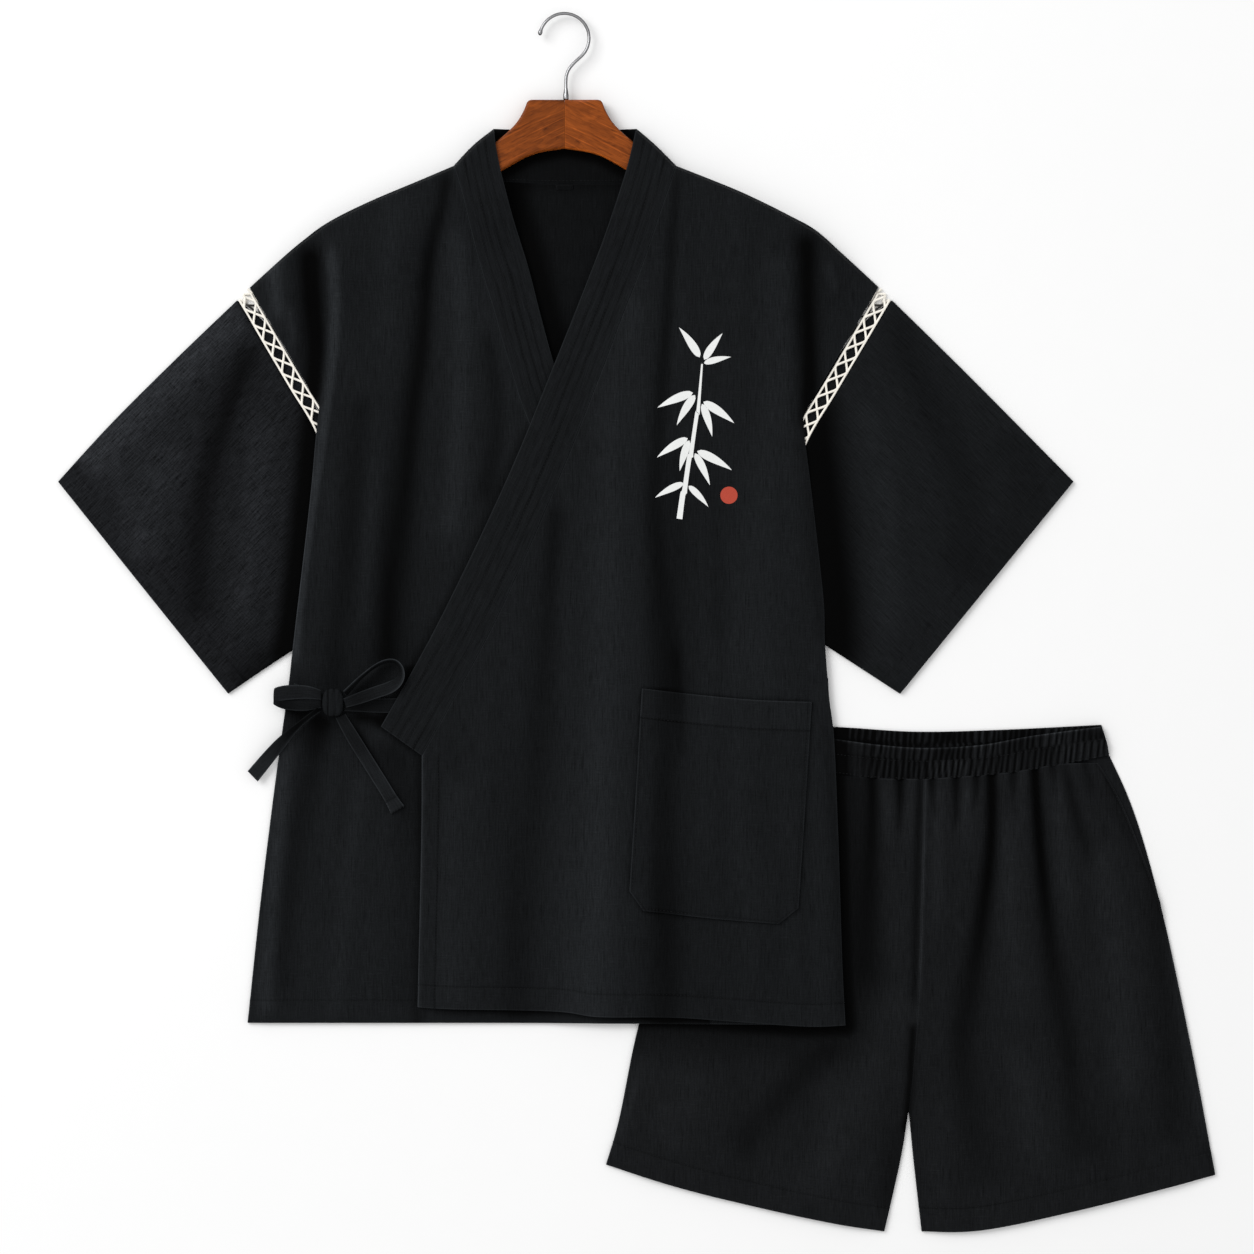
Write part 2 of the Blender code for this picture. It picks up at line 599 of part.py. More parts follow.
def build_sleeve(name, cuff, holes, edges, flip):
    """A sleeve: a flattened tube from cuff to armhole, its inner end tucked under the jacket's side."""
    columns = SLEEVE_COLUMNS
    lift = {0: 0.5, 1: 0.86}
    shares = evenly(8)
    fronts, backs = (patch(curve_through(cuff), curve_through(hole),
                           [(curve_through(edges[0]), curve_through(edges[1]), shares)], columns)
                     for hole in holes)
    rings = []
    for share, front, back in zip(shares, fronts, backs):
        ring = []
        last = len(columns) - 1
        swell = SLEEVE_PUFF * ease((1 - share) / 0.3) * (0.3 + 0.7 * ease(share / 0.2))
        for number, (x, y) in enumerate(front):
            puff = swell * math.sin(math.pi * columns[number]) ** 0.7
            top = (SLEEVE_FLAT + puff) * lift.get(min(number, last - number), 1.0)
            ring.append(Vector((x, y, top + sleeve_rise(x, y))) * MM)
        for number in range(last - 1, 0, -1):
            x, y = back[number]
            bottom = SLEEVE_FLAT * (1 - lift.get(min(number, last - number), 1.0))
            ring.append(Vector((x, y, bottom + sleeve_rise(x, y))) * MM)
        rings.append(ring)
    cloth(name, rings, side=-1.0, around=True, flip=flip)


def sleeve_rise(x, y):
    """The sleeve's inner end rises with the jacket's back where that passes over the shorts."""
    return back_under(x, y) * ease((225 - x) / 55)


def build_lace(name, armhole, inward, level, open_sides):
    """An openwork lace along an armhole: two rails, and cords that cross between them."""
    curve = armhole_line(armhole)
    half = LACE_WIDTH / 2 - LACE_CORD
    slope = math.atan2(half, LACE_PERIOD / 2)
    inset_along = LACE_CORD / 2 / math.sin(slope)
    inset_across = LACE_CORD / 2 / math.cos(slope)
    middle = LACE_SEAM + LACE_WIDTH / 2
    start, end = 0.5, curve.length - 3
    periods = int((end - start - LACE_CORD) / LACE_PERIOD)
    first = (start + end - periods * LACE_PERIOD) / 2
    stations = [first + k * LACE_PERIOD / 2 for k in range(1, 2 * periods)]
    near, far = LACE_SEAM, LACE_SEAM + LACE_WIDTH
    splines = [[(start, near)] + [(s, near) for s in stations] + [(end, near), (end, far)]
               + [(s, far) for s in reversed(stations)] + [(start, far)]]
    for k in range(periods):
        s = first + (k + 0.5) * LACE_PERIOD
        reach = LACE_PERIOD / 2 - inset_along
        splines.append([(s - reach, middle), (s, middle - half + inset_across),
                        (s + reach, middle), (s, middle + half - inset_across)])
        if k and k < open_sides:
            crossing = s - LACE_PERIOD / 2
            for side in (-1, 1):
                splines.append([(crossing - reach, middle + side * half),
                                (crossing + reach, middle + side * half),
                                (crossing, middle + side * inset_across)])
    in_place = [[off_curve(curve, s / curve.length, across * inward) for s, across in points]
                for points in splines]
    mesh = mesh_of_curve(name, in_place, CLOTH / 2)
    for vert in mesh.vertices:
        vert.co.z += (CLOTH / 2 + level + back_under(vert.co.x / MM, vert.co.y / MM)) * MM
    add_object(name, mesh, "lace")


def build_sleeves_and_laces():
    """Both sleeves, with the laces that join them to the body in front and behind."""
    build_sleeve("sleeve_left", CUFF_LEFT, (ARMHOLE_FRONT_LEFT, ARMHOLE_BACK_LEFT),
                 (SLEEVE_TOP_LEFT, UNDERARM_LEFT), True)
    build_sleeve("sleeve_right", CUFF_RIGHT, (ARMHOLE_FRONT_RIGHT, ARMHOLE_BACK_RIGHT),
                 (SLEEVE_TOP_RIGHT, UNDERARM_RIGHT), False)
    front_level = SLEEVE_FLAT - CLOTH
    build_lace("lace_front_left", ARMHOLE_FRONT_LEFT, 1, front_level, LACE_OPEN_PERIODS)
    build_lace("lace_front_right", ARMHOLE_FRONT_RIGHT, -1, front_level, LACE_OPEN_PERIODS)
    build_lace("lace_back_left", ARMHOLE_BACK_LEFT, 1, 0.0, 3)
    build_lace("lace_back_right", ARMHOLE_BACK_RIGHT, -1, 0.0, 3)


def build_pocket():
    """The patch pocket, made from the over front's own surface, moved out."""
    def on_front(x, y):
        return over_front_under(x, y) + CLOTH + LAYER + POCKET_EASE

    corners = [tuple(curve_through(side) for side in pair) for pair in (POCKET_SIDES, POCKET_CORNERS)]
    legs = [corners[0] + (rows_along(190, 24),), corners[1] + ([0.0, 1.0],)]
    rows = patch(curve_through(POCKET_TOP), curve_through(POCKET_BOTTOM), legs, evenly(8))
    cloth("pocket", raise_rows(rows, on_front))


def build_neck_loop():
    """The small loop at the back neck, flat on the inside of the back."""
    x, y, length, width = NECK_LOOP
    rounded_box("neck_loop", (x, y, CLOTH + LAYER + CLOTH / 2), (length, width, CLOTH), 0.3, "cloth")


def tie_level(x, y):
    """Top of the under front, carried on level past its side edge."""
    return under_front_under(max(x, x_at(SIDE_LEFT, y) + 45), y) + CLOTH


def build_tie(name, table, count):
    """A stretch of tie: a ribbon through a table's rows."""
    curve = curve_through(table)
    rows = []
    for k in range(count + 1):
        x, y, height, width, heading = curve(k / count)
        centre = Vector((x, y, tie_level(x, y) + height + CLOTH / 2))
        across = Vector((math.cos(math.radians(heading)), math.sin(math.radians(heading)), 0)) * width / 2
        rows.append([(centre + across * share) * MM for share in (-1, 0, 1)])
    cloth(name, rows, side=0.0)


def build_bow():
    """The bow: two ties from the collar and the side seam, a knot, two loops and two tails."""
    build_tie("tie_from_collar", TIE_FROM_COLLAR, 6)
    build_tie("tie_from_side", TIE_FROM_SIDE, 4)
    build_tie("bow_loop_left", LOOP_LEFT, 14)
    build_tie("bow_loop_right", LOOP_RIGHT, 16)
    build_tie("bow_tail_left", TAIL_LEFT, 9)
    build_tie("bow_tail_right", TAIL_RIGHT, 9)
    x, y = KNOT_CENTRE
    rounded_box("bow_knot", (x, y, tie_level(x, y) + 0.4 + KNOT_SIZE[2] / 2), KNOT_SIZE, 2.4, "cloth")


def shifted(table, dx, dy):
    """A table's points, moved."""
    return [(x + dx, y + dy) for x, y in table]


def build_shorts():
    """The shorts' four panels: two fronts over two backs."""
    waist = shifted(WAIST_BOTTOM, 0, -SEAM)
    centre_left = curve_through(shifted(SHORTS_CENTRE, -SEAM / 2, -SEAM))
    centre_right = curve_through(shifted(SHORTS_CENTRE, SEAM / 2, -SEAM))
    inseam_left = curve_through([(SHORTS_CENTRE[-1][0] - SEAM / 2, -455.4)] + INSEAM_LEFT[1:])
    inseam_right = curve_through([(SHORTS_CENTRE[-1][0] + SEAM / 2, -455.4)] + INSEAM_RIGHT[1:])
    left, right = curve_through(shifted(SHORTS_LEFT, 0, -SEAM)), curve_through(shifted(SHORTS_RIGHT, 0, -SEAM))
    mouth = curve_through(shifted(POCKET_MOUTH, 0, -SEAM))
    right_below = curve_through(shifted(SHORTS_RIGHT[3:], 0, -SEAM))
    waist_left, waist_right = curve_through(waist[:5]), curve_through(waist[4:])
    hem_left, hem_right = curve_through(HEM_LEFT), curve_through(HEM_RIGHT)
    upper, lower = rows_along(310, 26), rows_along(115, 26)
    coarse_upper, coarse_lower = rows_along(310, 78), rows_along(115, 58)
    legs = [(stretch(left, 0, 0.72), centre_left, upper), (stretch(left, 0.72, 1), inseam_left, lower)]
    rows = patch(waist_left, hem_left, legs, evenly(12))
    cloth("shorts_front_left", raise_rows(rows, shorts_front_under))
    legs = [(stretch(left, 0, 0.72), centre_left, coarse_upper),
            (stretch(left, 0.72, 1), inseam_left, coarse_lower)]
    rows = patch(waist_left, hem_left, legs, evenly(6))
    cloth("shorts_back_left", raise_rows(rows, shorts_back_under))
    top_right = curve_through(waist[4:-1] + [POCKET_MOUTH[0]])
    legs = [
        (stretch(centre_right, 0, 0.4), mouth, rows_along(130, 22)),
        (stretch(centre_right, 0.4, 1), stretch(right_below, 0, 0.6), rows_along(190, 26)),
        (inseam_right, stretch(right_below, 0.6, 1), lower),
    ]
    rows = patch(top_right, hem_right, legs, evenly(13))
    cloth("shorts_front_right", raise_rows(rows, shorts_front_under))
    legs = [(centre_right, stretch(right, 0, 0.72), rows_along(310, 30)),
            (inseam_right, stretch(right, 0.72, 1), rows_along(115, 40))]
    columns = [0.0, 0.3, 0.55, 0.72, 0.8, 0.87, 0.915, 0.945, 0.972, 1.0]
    rows = patch(waist_right, hem_right, legs, columns)
    cloth("shorts_back_right", raise_rows(rows, shorts_back_under))


def build_waistband():
    """The elastic waistband: a flat back, and a front whose gathers are raised on a plain inside."""
    left = curve_through([WAIST_FRONT_TOP[0], WAIST_BOTTOM[0]])
    right = curve_through([WAIST_FRONT_TOP[-1], (437.5, -111), WAIST_BOTTOM[-1]])
    bottom = curve_through(WAIST_BOTTOM)
    back_sides = (curve_through([WAIST_BACK_TOP[0], WAIST_BOTTOM[0]]),
                  curve_through([WAIST_BACK_TOP[-1], (437.5, -111), WAIST_BOTTOM[-1]]))
    rows = patch(curve_through(WAIST_BACK_TOP), bottom, [back_sides + (evenly(2),)], evenly(12))
    cloth("waistband_back", raise_rows(rows, lambda x, y: 0.0), BAND)
    hidden_share = 0.25
    gathers = round((1 - hidden_share) * bottom.length / GATHER_PITCH)
    columns = evenly(3, 0, hidden_share) + evenly(2 * gathers, hidden_share, 1)[1:]
    shares = [0.0, 0.25, 0.5, 0.75, 1.0]
    depth = [0.35, 1.0, 0.5, 1.0, 0.6]
    rows = patch(curve_through(WAIST_FRONT_TOP), bottom, [(left, right, shares)], columns)
    inside, outside = [], []
    for row, fullness in zip(rows, depth):
        for u, (x, y) in zip(columns, row):
            shown = shorts_shown(x, y) * ease((1 - u) / 0.04)
            phase = (u - hidden_share) / (1 - hidden_share) * gathers
            ridge = 0.5 + 0.5 * math.cos(2 * math.pi * phase)
            level = BAND + LAYER + GATHER_SWELL * shown
            inside.append(Vector((x, y, level)) * MM)
            outside.append(Vector((x, y, level + BAND + GATHER_RISE * ridge * fullness * shown)) * MM)
    add_object("waistband_front", layered_mesh("waistband_front", inside, outside, len(columns)), "cloth")


def layered_mesh(name, inside, outside, width):
    """A closed wall between an inner and an outer layer of points, each given row by row."""
    bm = bmesh.new()
    inner = [bm.verts.new(point) for point in inside]
    outer = [bm.verts.new(point) for point in outside]
    height = len(inner) // width
    for r in range(height - 1):
        for c in range(width - 1):
            a, b = r * width + c, (r + 1) * width + c
            bm.faces.new((outer[a], outer[b], outer[b + 1], outer[a + 1]))
            bm.faces.new((inner[a + 1], inner[b + 1], inner[b], inner[a]))
    last = height - 1
    rim = ([c for c in range(width)] + [r * width + width - 1 for r in range(1, height)]
           + [last * width + c for c in range(width - 2, -1, -1)] + [r * width for r in range(last - 1, 0, -1)])
    for a, b in zip(rim, rim[1:] + rim[:1]):
        bm.faces.new((inner[a], inner[b], outer[b], outer[a])[::-1])
    mesh = bpy.data.meshes.new(name)
    bm.to_mesh(mesh)
    bm.free()
    return mesh


def build_hanger():
    """The wooden hanger in two mirrored halves, and its wire hook."""
    for name, side in (("hanger_half_left", -1), ("hanger_half_right", 1)):
        outline = [(HANGER_CENTRE + side * d, y) for d, y in HANGER_HALF]
        mesh = mesh_of_curve(name, [outline], HANGER_THICK / 2, HANGER_BEVEL, 1)
        half = add_object(name, mesh, "wood")
        half.location.z = (HANGER_UNDER + HANGER_THICK / 2) * MM
    x, y = HOOK_CENTRE
    turns = [HOOK_TIP_ANGLE + (HOOK_END_ANGLE - HOOK_TIP_ANGLE) * k / 18 for k in range(19)]
    route = [(x + HOOK_RADIUS * math.cos(math.radians(a)), y + HOOK_RADIUS * math.sin(math.radians(a)))
             for a in turns]
    route += [(-58.2, 519.6), (-62.6, 514.2), (-64.9, 508.6), (-65.5, 503), (-65.5, 492), (-65.5, 490),
              (-65.5, 485.6)]
    thickness = [1.0, 1.4, 1.0] + [1.0] * (len(route) - 6) + [1.0, 1.25, 1.25]
    route[1] = tuple(0.75 * a + 0.25 * b for a, b in zip(route[0], route[1]))
    data = bpy.data.curves.new("hanger_hook", "CURVE")
    data.dimensions = "3D"
    data.bevel_depth = WIRE / 2 * MM
    data.bevel_resolution = 2
    data.use_fill_caps = True
    spline = data.splines.new("POLY")
    spline.points.add(len(route) - 1)
    for point, (px, py), radius in zip(spline.points, route, thickness):
        point.co = (px * MM, py * MM, (HANGER_UNDER + HANGER_THICK / 2) * MM, 1)
        point.radius = radius
    add_object("hanger_hook", data, "steel")


def main():
    """Build the set."""
    for thing in list(bpy.data.objects):
        bpy.data.objects.remove(thing)
    collection = bpy.data.collections.new("jinbei_set")
    bpy.context.scene.collection.children.link(collection)
    build_jacket_back()
    build_fronts()
    build_collar()
    build_sleeves_and_laces()
    build_pocket()
    build_neck_loop()
    build_bow()
    build_shorts()
    build_waistband()
    build_hanger()


main()
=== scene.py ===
# %% [markdown]
# # A jinbei set laid flat
# A jinbei is a summer set: a wrap jacket, tied at the side, and short trousers. This one lies flat on a
# pale surface, the jacket on its wooden hanger and the shorts tucked under its corner. The solid model
# gives every piece its place. This lesson makes the cloth that shows: thin walls on the same outlines,
# with hems, seams, gathers and creases, then lace, wood and wire, and one material for each of them.

# %% Load the model
import math

import bmesh
import bpy
import numpy as np
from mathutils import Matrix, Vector


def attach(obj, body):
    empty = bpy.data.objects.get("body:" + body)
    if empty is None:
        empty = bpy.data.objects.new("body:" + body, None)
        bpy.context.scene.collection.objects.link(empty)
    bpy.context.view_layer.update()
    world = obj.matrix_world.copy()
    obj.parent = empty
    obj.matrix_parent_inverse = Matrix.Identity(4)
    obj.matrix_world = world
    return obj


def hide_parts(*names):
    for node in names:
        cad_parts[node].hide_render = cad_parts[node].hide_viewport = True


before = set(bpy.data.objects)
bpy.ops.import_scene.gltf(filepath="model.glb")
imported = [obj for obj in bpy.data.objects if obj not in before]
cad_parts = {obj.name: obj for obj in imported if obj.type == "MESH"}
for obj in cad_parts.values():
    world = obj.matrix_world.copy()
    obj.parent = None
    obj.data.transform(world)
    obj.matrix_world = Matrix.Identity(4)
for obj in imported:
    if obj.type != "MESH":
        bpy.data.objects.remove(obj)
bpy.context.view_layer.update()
print("solid pieces:", len(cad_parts))

# %% [markdown]
# A maker starts from a paper pattern: the outline of each piece. It could be drawn by hand in Blender, but
# a table of points is easier to read and to correct, so the tables hold the outlines in millimetres, x to
# the right and y up the garment. Each is short, and smooth curves run through its rows.

# %% The pattern's tables
MM = 0.001
CLOTH, COLLAR, BAND = 1.2, 1.8, 1.8  # thicknesses: one layer, the folded collar and the waistband
LAYER = 0.3  # air between two layers
JACKET_HEM, LEG_HEM, CUFF_HEM, POCKET_HEM = 21.0, 22.0, 20.0, 27.0

# Columns: x, y
SHOULDER_LEFT = [(-170, 425), (-203, 411), (-248, 392), (-286, 373), (-311, 355), (-331, 338), (-360, 311.5)]
SHOULDER_RIGHT = [(37, 425), (85, 406), (112, 394), (142, 379), (167, 365), (192, 343), (225.5, 312)]
NECK_FOLD_LEFT = [(-132.5, 459.5), (-152, 444), (-170, 425)]
NECK_FOLD_RIGHT = [(0, 459.5), (18, 444), (37, 425)]
NECK_SEAM = [(-170, 425), (-136, 412), (-98, 409), (-57, 408.5), (-16, 409), (6, 412), (37, 425)]
COLLAR_TOP = [(-132.5, 459.5), (-66, 457.5), (0, 459.5)]
OVER_FREE = [(0, 459.5), (-9.3, 420), (-26.6, 368), (-45, 319), (-76, 241), (-121, 132), (-183, 2),
             (-237.5, -97)]
OVER_SEAM = [(37, 425), (23, 384), (5, 332), (-14, 283), (-35.4, 226), (-73, 132), (-132, 0), (-199.5, -124)]
UNDER_FREE = [(-132.5, 459.5), (-128, 429), (-115.5, 379), (-101, 332), (-89.4, 287), (-77, 242),
              (-60, 192), (-33, 132), (4, 62), (52, -14), (100, -95)]
UNDER_SEAM = [(-170, 425), (-161, 395), (-148, 341), (-134, 294), (-119, 242), (-102, 190),
              (-76, 136), (-40, 62), (10, -33), (62, -122)]
OVER_EDGE = [(-199.5, -124), (-200, -203), (-203.5, -358)]
UNDER_EDGE = [(62, -122), (65, -250), (68, -373.5)]
LACE_LINE_LEFT = [(-360, 311.5), (-295, 201)]
LACE_LINE_RIGHT = [(225.5, 312), (155, 192)]
FOLD_LEFT = [(-295, 201), (-298, 173), (-303, 118), (-314, 23), (-320, -26)]
FOLD_RIGHT = [(155, 192), (157, 169), (164, 113), (174, 23), (175.5, -20)]
SIDE_LEFT = [(-320, -26), (-324, -60), (-336, -147), (-350, -260), (-362, -373)]
SIDE_RIGHT = [(175.5, -20), (179.5, -72), (184, -110), (188, -205), (191.5, -314), (194.5, -375)]
OVER_HEM = [(-203.5, -358), (-170, -360), (-74, -362), (-35, -366.5), (37, -367.5), (91, -371),
            (159, -376), (194.5, -375)]
UNDER_HEM = [(-362, -373), (-150, -373), (68, -373.5)]
BACK_HEM = [(-362, -373), (-100, -372), (194.5, -373)]
ARMHOLE_FRONT_LEFT = [(-371.8, 299.8), (-347.8, 258.6), (-323.7, 217.7), (-299.6, 177), (-284, 127),
                      (-281, 70), (-292, 25), (-310, -19.5)]
ARMHOLE_BACK_LEFT = [(-371.8, 299.8), (-348, 281), (-329, 257), (-304, 213), (-287, 162), (-280, 105),
                     (-286, 47), (-310, -19.5)]
ARMHOLE_FRONT_RIGHT = [(238, 299.8), (212.3, 256), (186.5, 212.5), (160.7, 169), (144, 122), (140, 70),
                       (148, 25), (166, -15)]
ARMHOLE_BACK_RIGHT = [(238, 299.8), (214, 281), (194, 257), (166, 211), (148, 162), (140, 105), (143, 47),
                      (166, -15)]
SLEEVE_TOP_LEFT = [(-538.5, 131), (-489.5, 184.6), (-430, 244), (-371.8, 299.8)]
SLEEVE_TOP_RIGHT = [(407, 131), (328, 211), (282, 256.8), (238, 299.8)]
CUFF_LEFT = [(-538.5, 131), (-460, 33), (-380, -66.5)]
CUFF_RIGHT = [(407, 131), (326, 32), (245.5, -66.7)]
UNDERARM_LEFT = [(-380, -66.5), (-350, -46), (-310, -19.5)]
UNDERARM_RIGHT = [(245.5, -66.7), (210, -43.6), (166, -15)]
POCKET_TOP = [(5, -61.5), (54, -67), (110, -72), (163, -74)]
POCKET_BOTTOM = [(6.5, -268), (70, -275), (132, -280)]
POCKET_SIDES = ([(5, -61.5), (-0.8, -160), (-6.6, -249.5)], [(163, -74), (157, -170), (150.5, -265.5)])
POCKET_CORNERS = ([(-6.6, -249.5), (6.5, -268)], [(150.5, -265.5), (132, -280)])
WAIST_BACK_TOP = [(100, -96.5), (183, -97.5), (260, -102), (341, -100.2), (433, -95.6)]
WAIST_FRONT_TOP = [(100, -97.5), (140, -103), (184.5, -108.7), (225, -114), (268, -117), (320, -114.3),
                   (368, -105.8), (433, -97)]
WAIST_BOTTOM = [(96.5, -127), (140, -135), (184.5, -141.2), (225, -145.5), (268, -146.2), (341, -141),
                (394, -132.8), (440, -123.6)]
SHORTS_LEFT = [(96.5, -127), (76, -165), (58, -205), (43, -260), (28, -305), (2.4, -375), (-16, -463),
               (-28.3, -505.5)]
SHORTS_CENTRE = [(268, -146.2), (267, -207), (264, -314), (260.5, -378), (253.5, -455)]
SHORTS_RIGHT = [(440, -123.6), (458, -163), (472.4, -205), (487.6, -261), (500.2, -316), (520, -412),
                (539, -514)]
INSEAM_LEFT = [(252.5, -456), (246, -500), (230.8, -567.2)]
INSEAM_RIGHT = [(254.5, -456), (258, -500), (265.6, -567.2)]
HEM_LEFT = [(-28.3, -505.5), (37, -526), (108, -543.7), (180, -559), (230.8, -567.2)]
HEM_RIGHT = [(265.6, -567.2), (325, -565.3), (424, -544), (538.5, -514)]
POCKET_MOUTH = [(430, -131.5), (444, -154), (457, -181), (475, -227), (487.6, -261)]
print("jacket, shoulder to hem:", SHOULDER_LEFT[0][1] - OVER_HEM[-1][1], "mm")

# %% [markdown]
# A cut panel has a top, a bottom and two sides. A filled outline would give one flat face that can't
# bend, and a grid that is cut to shape has ragged edges. So every panel is a patch: rows of points between
# a top and a bottom curve and two sides, as a weaver fills a frame. The points are numpy arrays, and a
# panel of twenty thousand points takes a moment.

# %% Curves and patches


def ease(t):
    """0 below 0, 1 above 1, and a smooth step between."""
    t = np.clip(t, 0.0, 1.0)
    return t * t * (3.0 - 2.0 * t)


def curve_through(points, steps=12):
    """A smooth curve through a table's rows. It takes shares of its length, from 0 to 1."""
    rows = np.array(points, float)
    ends = np.vstack([rows[:1], rows, rows[-1:]])
    t = (np.arange(steps) / steps)[:, None]
    runs = []
    for a, b, c, d in zip(ends, ends[1:], ends[2:], ends[3:]):
        runs.append(0.5 * (2 * b + (c - a) * t + (2 * a - 5 * b + 4 * c - d) * t ** 2
                           + (3 * b - a - 3 * c + d) * t ** 3))
    dense = np.vstack(runs + [rows[-1:]])
    reach = np.concatenate([[0.0], np.cumsum(np.hypot(*np.diff(dense[:, :2], axis=0).T))])

    def at(share):
        target = np.clip(share, 0, 1) * reach[-1]
        return np.stack([np.interp(target, reach, dense[:, k]) for k in range(dense.shape[1])], -1)

    at.length = reach[-1]
    return at


def stretch(curve, start, end):
    """The part of a curve between two shares of its length."""
    def at(share):
        return curve(start + (end - start) * np.asarray(share, float))

    at.length = curve.length * (end - start)
    return at


def joined(curves):
    """Curves run together into one."""
    return curve_through(np.vstack([curve(np.linspace(0, 1, 60)[1 if k else 0:])
                                    for k, curve in enumerate(curves)]), 1)


def beside(curve, distance, count=24):
    """A table of points at a distance to the left of a curve."""
    share = np.linspace(0, 1, count + 1)
    run = curve(share + 0.01) - curve(share - 0.01)
    run /= np.hypot(*run.T)[:, None]
    return curve(share) + distance * np.stack([-run[:, 1], run[:, 0]], -1)


def stops(length, step, near=(0.0,), far=(0.0,)):
    """Shares of a length: at given distances from both ends, and evenly spaced between them."""
    fixed = sorted(set(near) | {length - distance for distance in far})
    shares = [fixed[0]]
    for a, b in zip(fixed, fixed[1:]):
        count = max(round((b - a) / step), 1)
        shares += [a + (b - a) * k / count for k in range(1, count + 1)]
    return np.array(shares) / length


def patch(top, bottom, legs, columns):
    """Points (row, column, xy) between a top and a bottom curve. A leg is (left, right, row shares)."""
    lengths = np.array([left.length + right.length for left, right, shares in legs])
    v, left_side, right_side = [], [], []
    for number, (left, right, shares) in enumerate(legs):
        shares = shares[1 if number else 0:]
        v.append((lengths[:number].sum() + shares * lengths[number]) / lengths.sum())
        left_side.append(left(shares))
        right_side.append(right(shares))
    v = np.concatenate(v)[:, None, None]
    left_side, right_side = np.vstack(left_side)[:, None], np.vstack(right_side)[:, None]
    u = columns[None, :, None]
    bows = [curve(columns) - (curve(0.0) + (curve(1.0) - curve(0.0)) * columns[:, None])
            for curve in (top, bottom)]
    return left_side * (1 - u) + right_side * u + (1 - v) * bows[0][None] + v * bows[1][None]


def margins(plan):
    """Distance of each point from the patch's left, right, top and bottom side, along its lines."""
    across = np.linalg.norm(np.diff(plan, axis=1), axis=2)
    along = np.linalg.norm(np.diff(plan, axis=0), axis=2)
    left = np.pad(np.cumsum(across, 1), ((0, 0), (1, 0)))
    top = np.pad(np.cumsum(along, 0), ((1, 0), (0, 0)))
    return left, left[:, -1:] - left, top, top[-1:] - top


print("over collar's free edge:", round(float(curve_through(OVER_FREE).length)), "mm long")

# %% [markdown]
# Heights come next. Cloth lies on what is under it, swells over the hanger and sinks into creases. A cloth
# simulation could drop it there, but it would crease where it likes. Here each height is worked out from
# how far a point is from an edge or a line, so a few helpers measure that, and smooth noise adds unevenness.

# %% Distances and outlines


def distance_to(points, x, y):
    """Distance from each (x, y) to the line through a table's points."""
    best = np.full(np.shape(x), 1e9)
    for (ax, ay), (bx, by) in zip(points, points[1:]):
        dx, dy = bx - ax, by - ay
        share = np.clip(((x - ax) * dx + (y - ay) * dy) / max(dx * dx + dy * dy, 1e-9), 0, 1)
        best = np.minimum(best, np.hypot(x - ax - dx * share, y - ay - dy * share))
    return best


def near(tables, x, y, width):
    """1 on any of some lines, fading to 0 a width away."""
    return np.exp(-(np.minimum.reduce([distance_to(table, x, y) for table in tables]) / width) ** 2)


def outside_distance(outline, x, y):
    """Distance outside a closed outline, and 0 inside it."""
    inside = np.zeros(np.shape(x), bool)
    for (ax, ay), (bx, by) in zip(outline, outline[1:] + outline[:1]):
        if ay != by:
            inside ^= ((ay > y) != (by > y)) & (x < ax + (y - ay) * (bx - ax) / (by - ay))
    return np.where(inside, 0.0, distance_to(outline + outline[:1], x, y))


def x_at(table, y):
    """x on a table's line at a height y, for a table that runs steadily down."""
    rows = np.array(table, float)[::-1]
    return np.interp(y, rows[:, 1], rows[:, 0])


NOISE_CELLS = 61


def soft_noise(x, y, across, along, seed):
    """Smooth noise from -1 to 1, whose features have a size in millimetres."""
    lattice = np.random.default_rng(seed).uniform(-1, 1, (NOISE_CELLS, NOISE_CELLS))
    u, v = np.asarray(x) / across + 100, np.asarray(y) / along + 100
    i, j = np.floor(u).astype(int), np.floor(v).astype(int)
    s, t = ease(u - i), ease(v - j)
    i, j, k, m = (number % NOISE_CELLS for number in (i, j, i + 1, j + 1))
    return ((lattice[i, j] * (1 - s) + lattice[k, j] * s) * (1 - t)
            + (lattice[i, m] * (1 - s) + lattice[k, m] * s) * t)


print("the neck seam is", round(float(distance_to(NECK_SEAM, 0.0, 459.5))), "mm below the collar's top")

# %% [markdown]
# The creases are where this cloth hung and was folded: long, soft and uneven. They could be sculpted, but a
# table can be compared with the real garment line by line. Each row is a line with a half width and a depth.
# Black cloth shows a crease mostly by its shade, so the depth is also kept as painted shade for the material:
# dark in a trough, light on a ridge.

# %% The creases
HANGER_CENTRE = -66.6
HANGER_UPPER = [(34.3, 485.1), (38.3, 474.5), (46.7, 461.5), (63.4, 446.3), (83, 432), (103, 418.5),
                (151, 397.5), (195, 377.5), (214, 366.5), (224, 358.5)]
HANGER_END = [(228.5, 350), (224, 342.5), (214, 341)]
HANGER_LOWER = [(190, 352.5), (151, 370.5), (103, 394), (80, 407), (57.4, 420.5), (30, 435), (0.15, 440.6)]
HANGER_HALF = [(0.15, 485.1)] + HANGER_UPPER + HANGER_END + HANGER_LOWER
HANGER_OUTLINE = ([(HANGER_CENTRE + d, y) for d, y in HANGER_HALF]
                  + [(HANGER_CENTRE - d, y) for d, y in reversed(HANGER_HALF)])
SHORTS_OUTLINE = SHORTS_LEFT + HEM_LEFT[1:] + HEM_RIGHT + list(reversed(SHORTS_RIGHT)) + WAIST_BACK_TOP[::-1]
JACKET_TOP = (NECK_FOLD_LEFT + SHOULDER_LEFT[1:], NECK_FOLD_RIGHT + SHOULDER_RIGHT[1:])
JACKET_CORNER = SIDE_RIGHT + OVER_HEM[::-1][1:]
FRONT_EDGE = OVER_FREE + OVER_EDGE

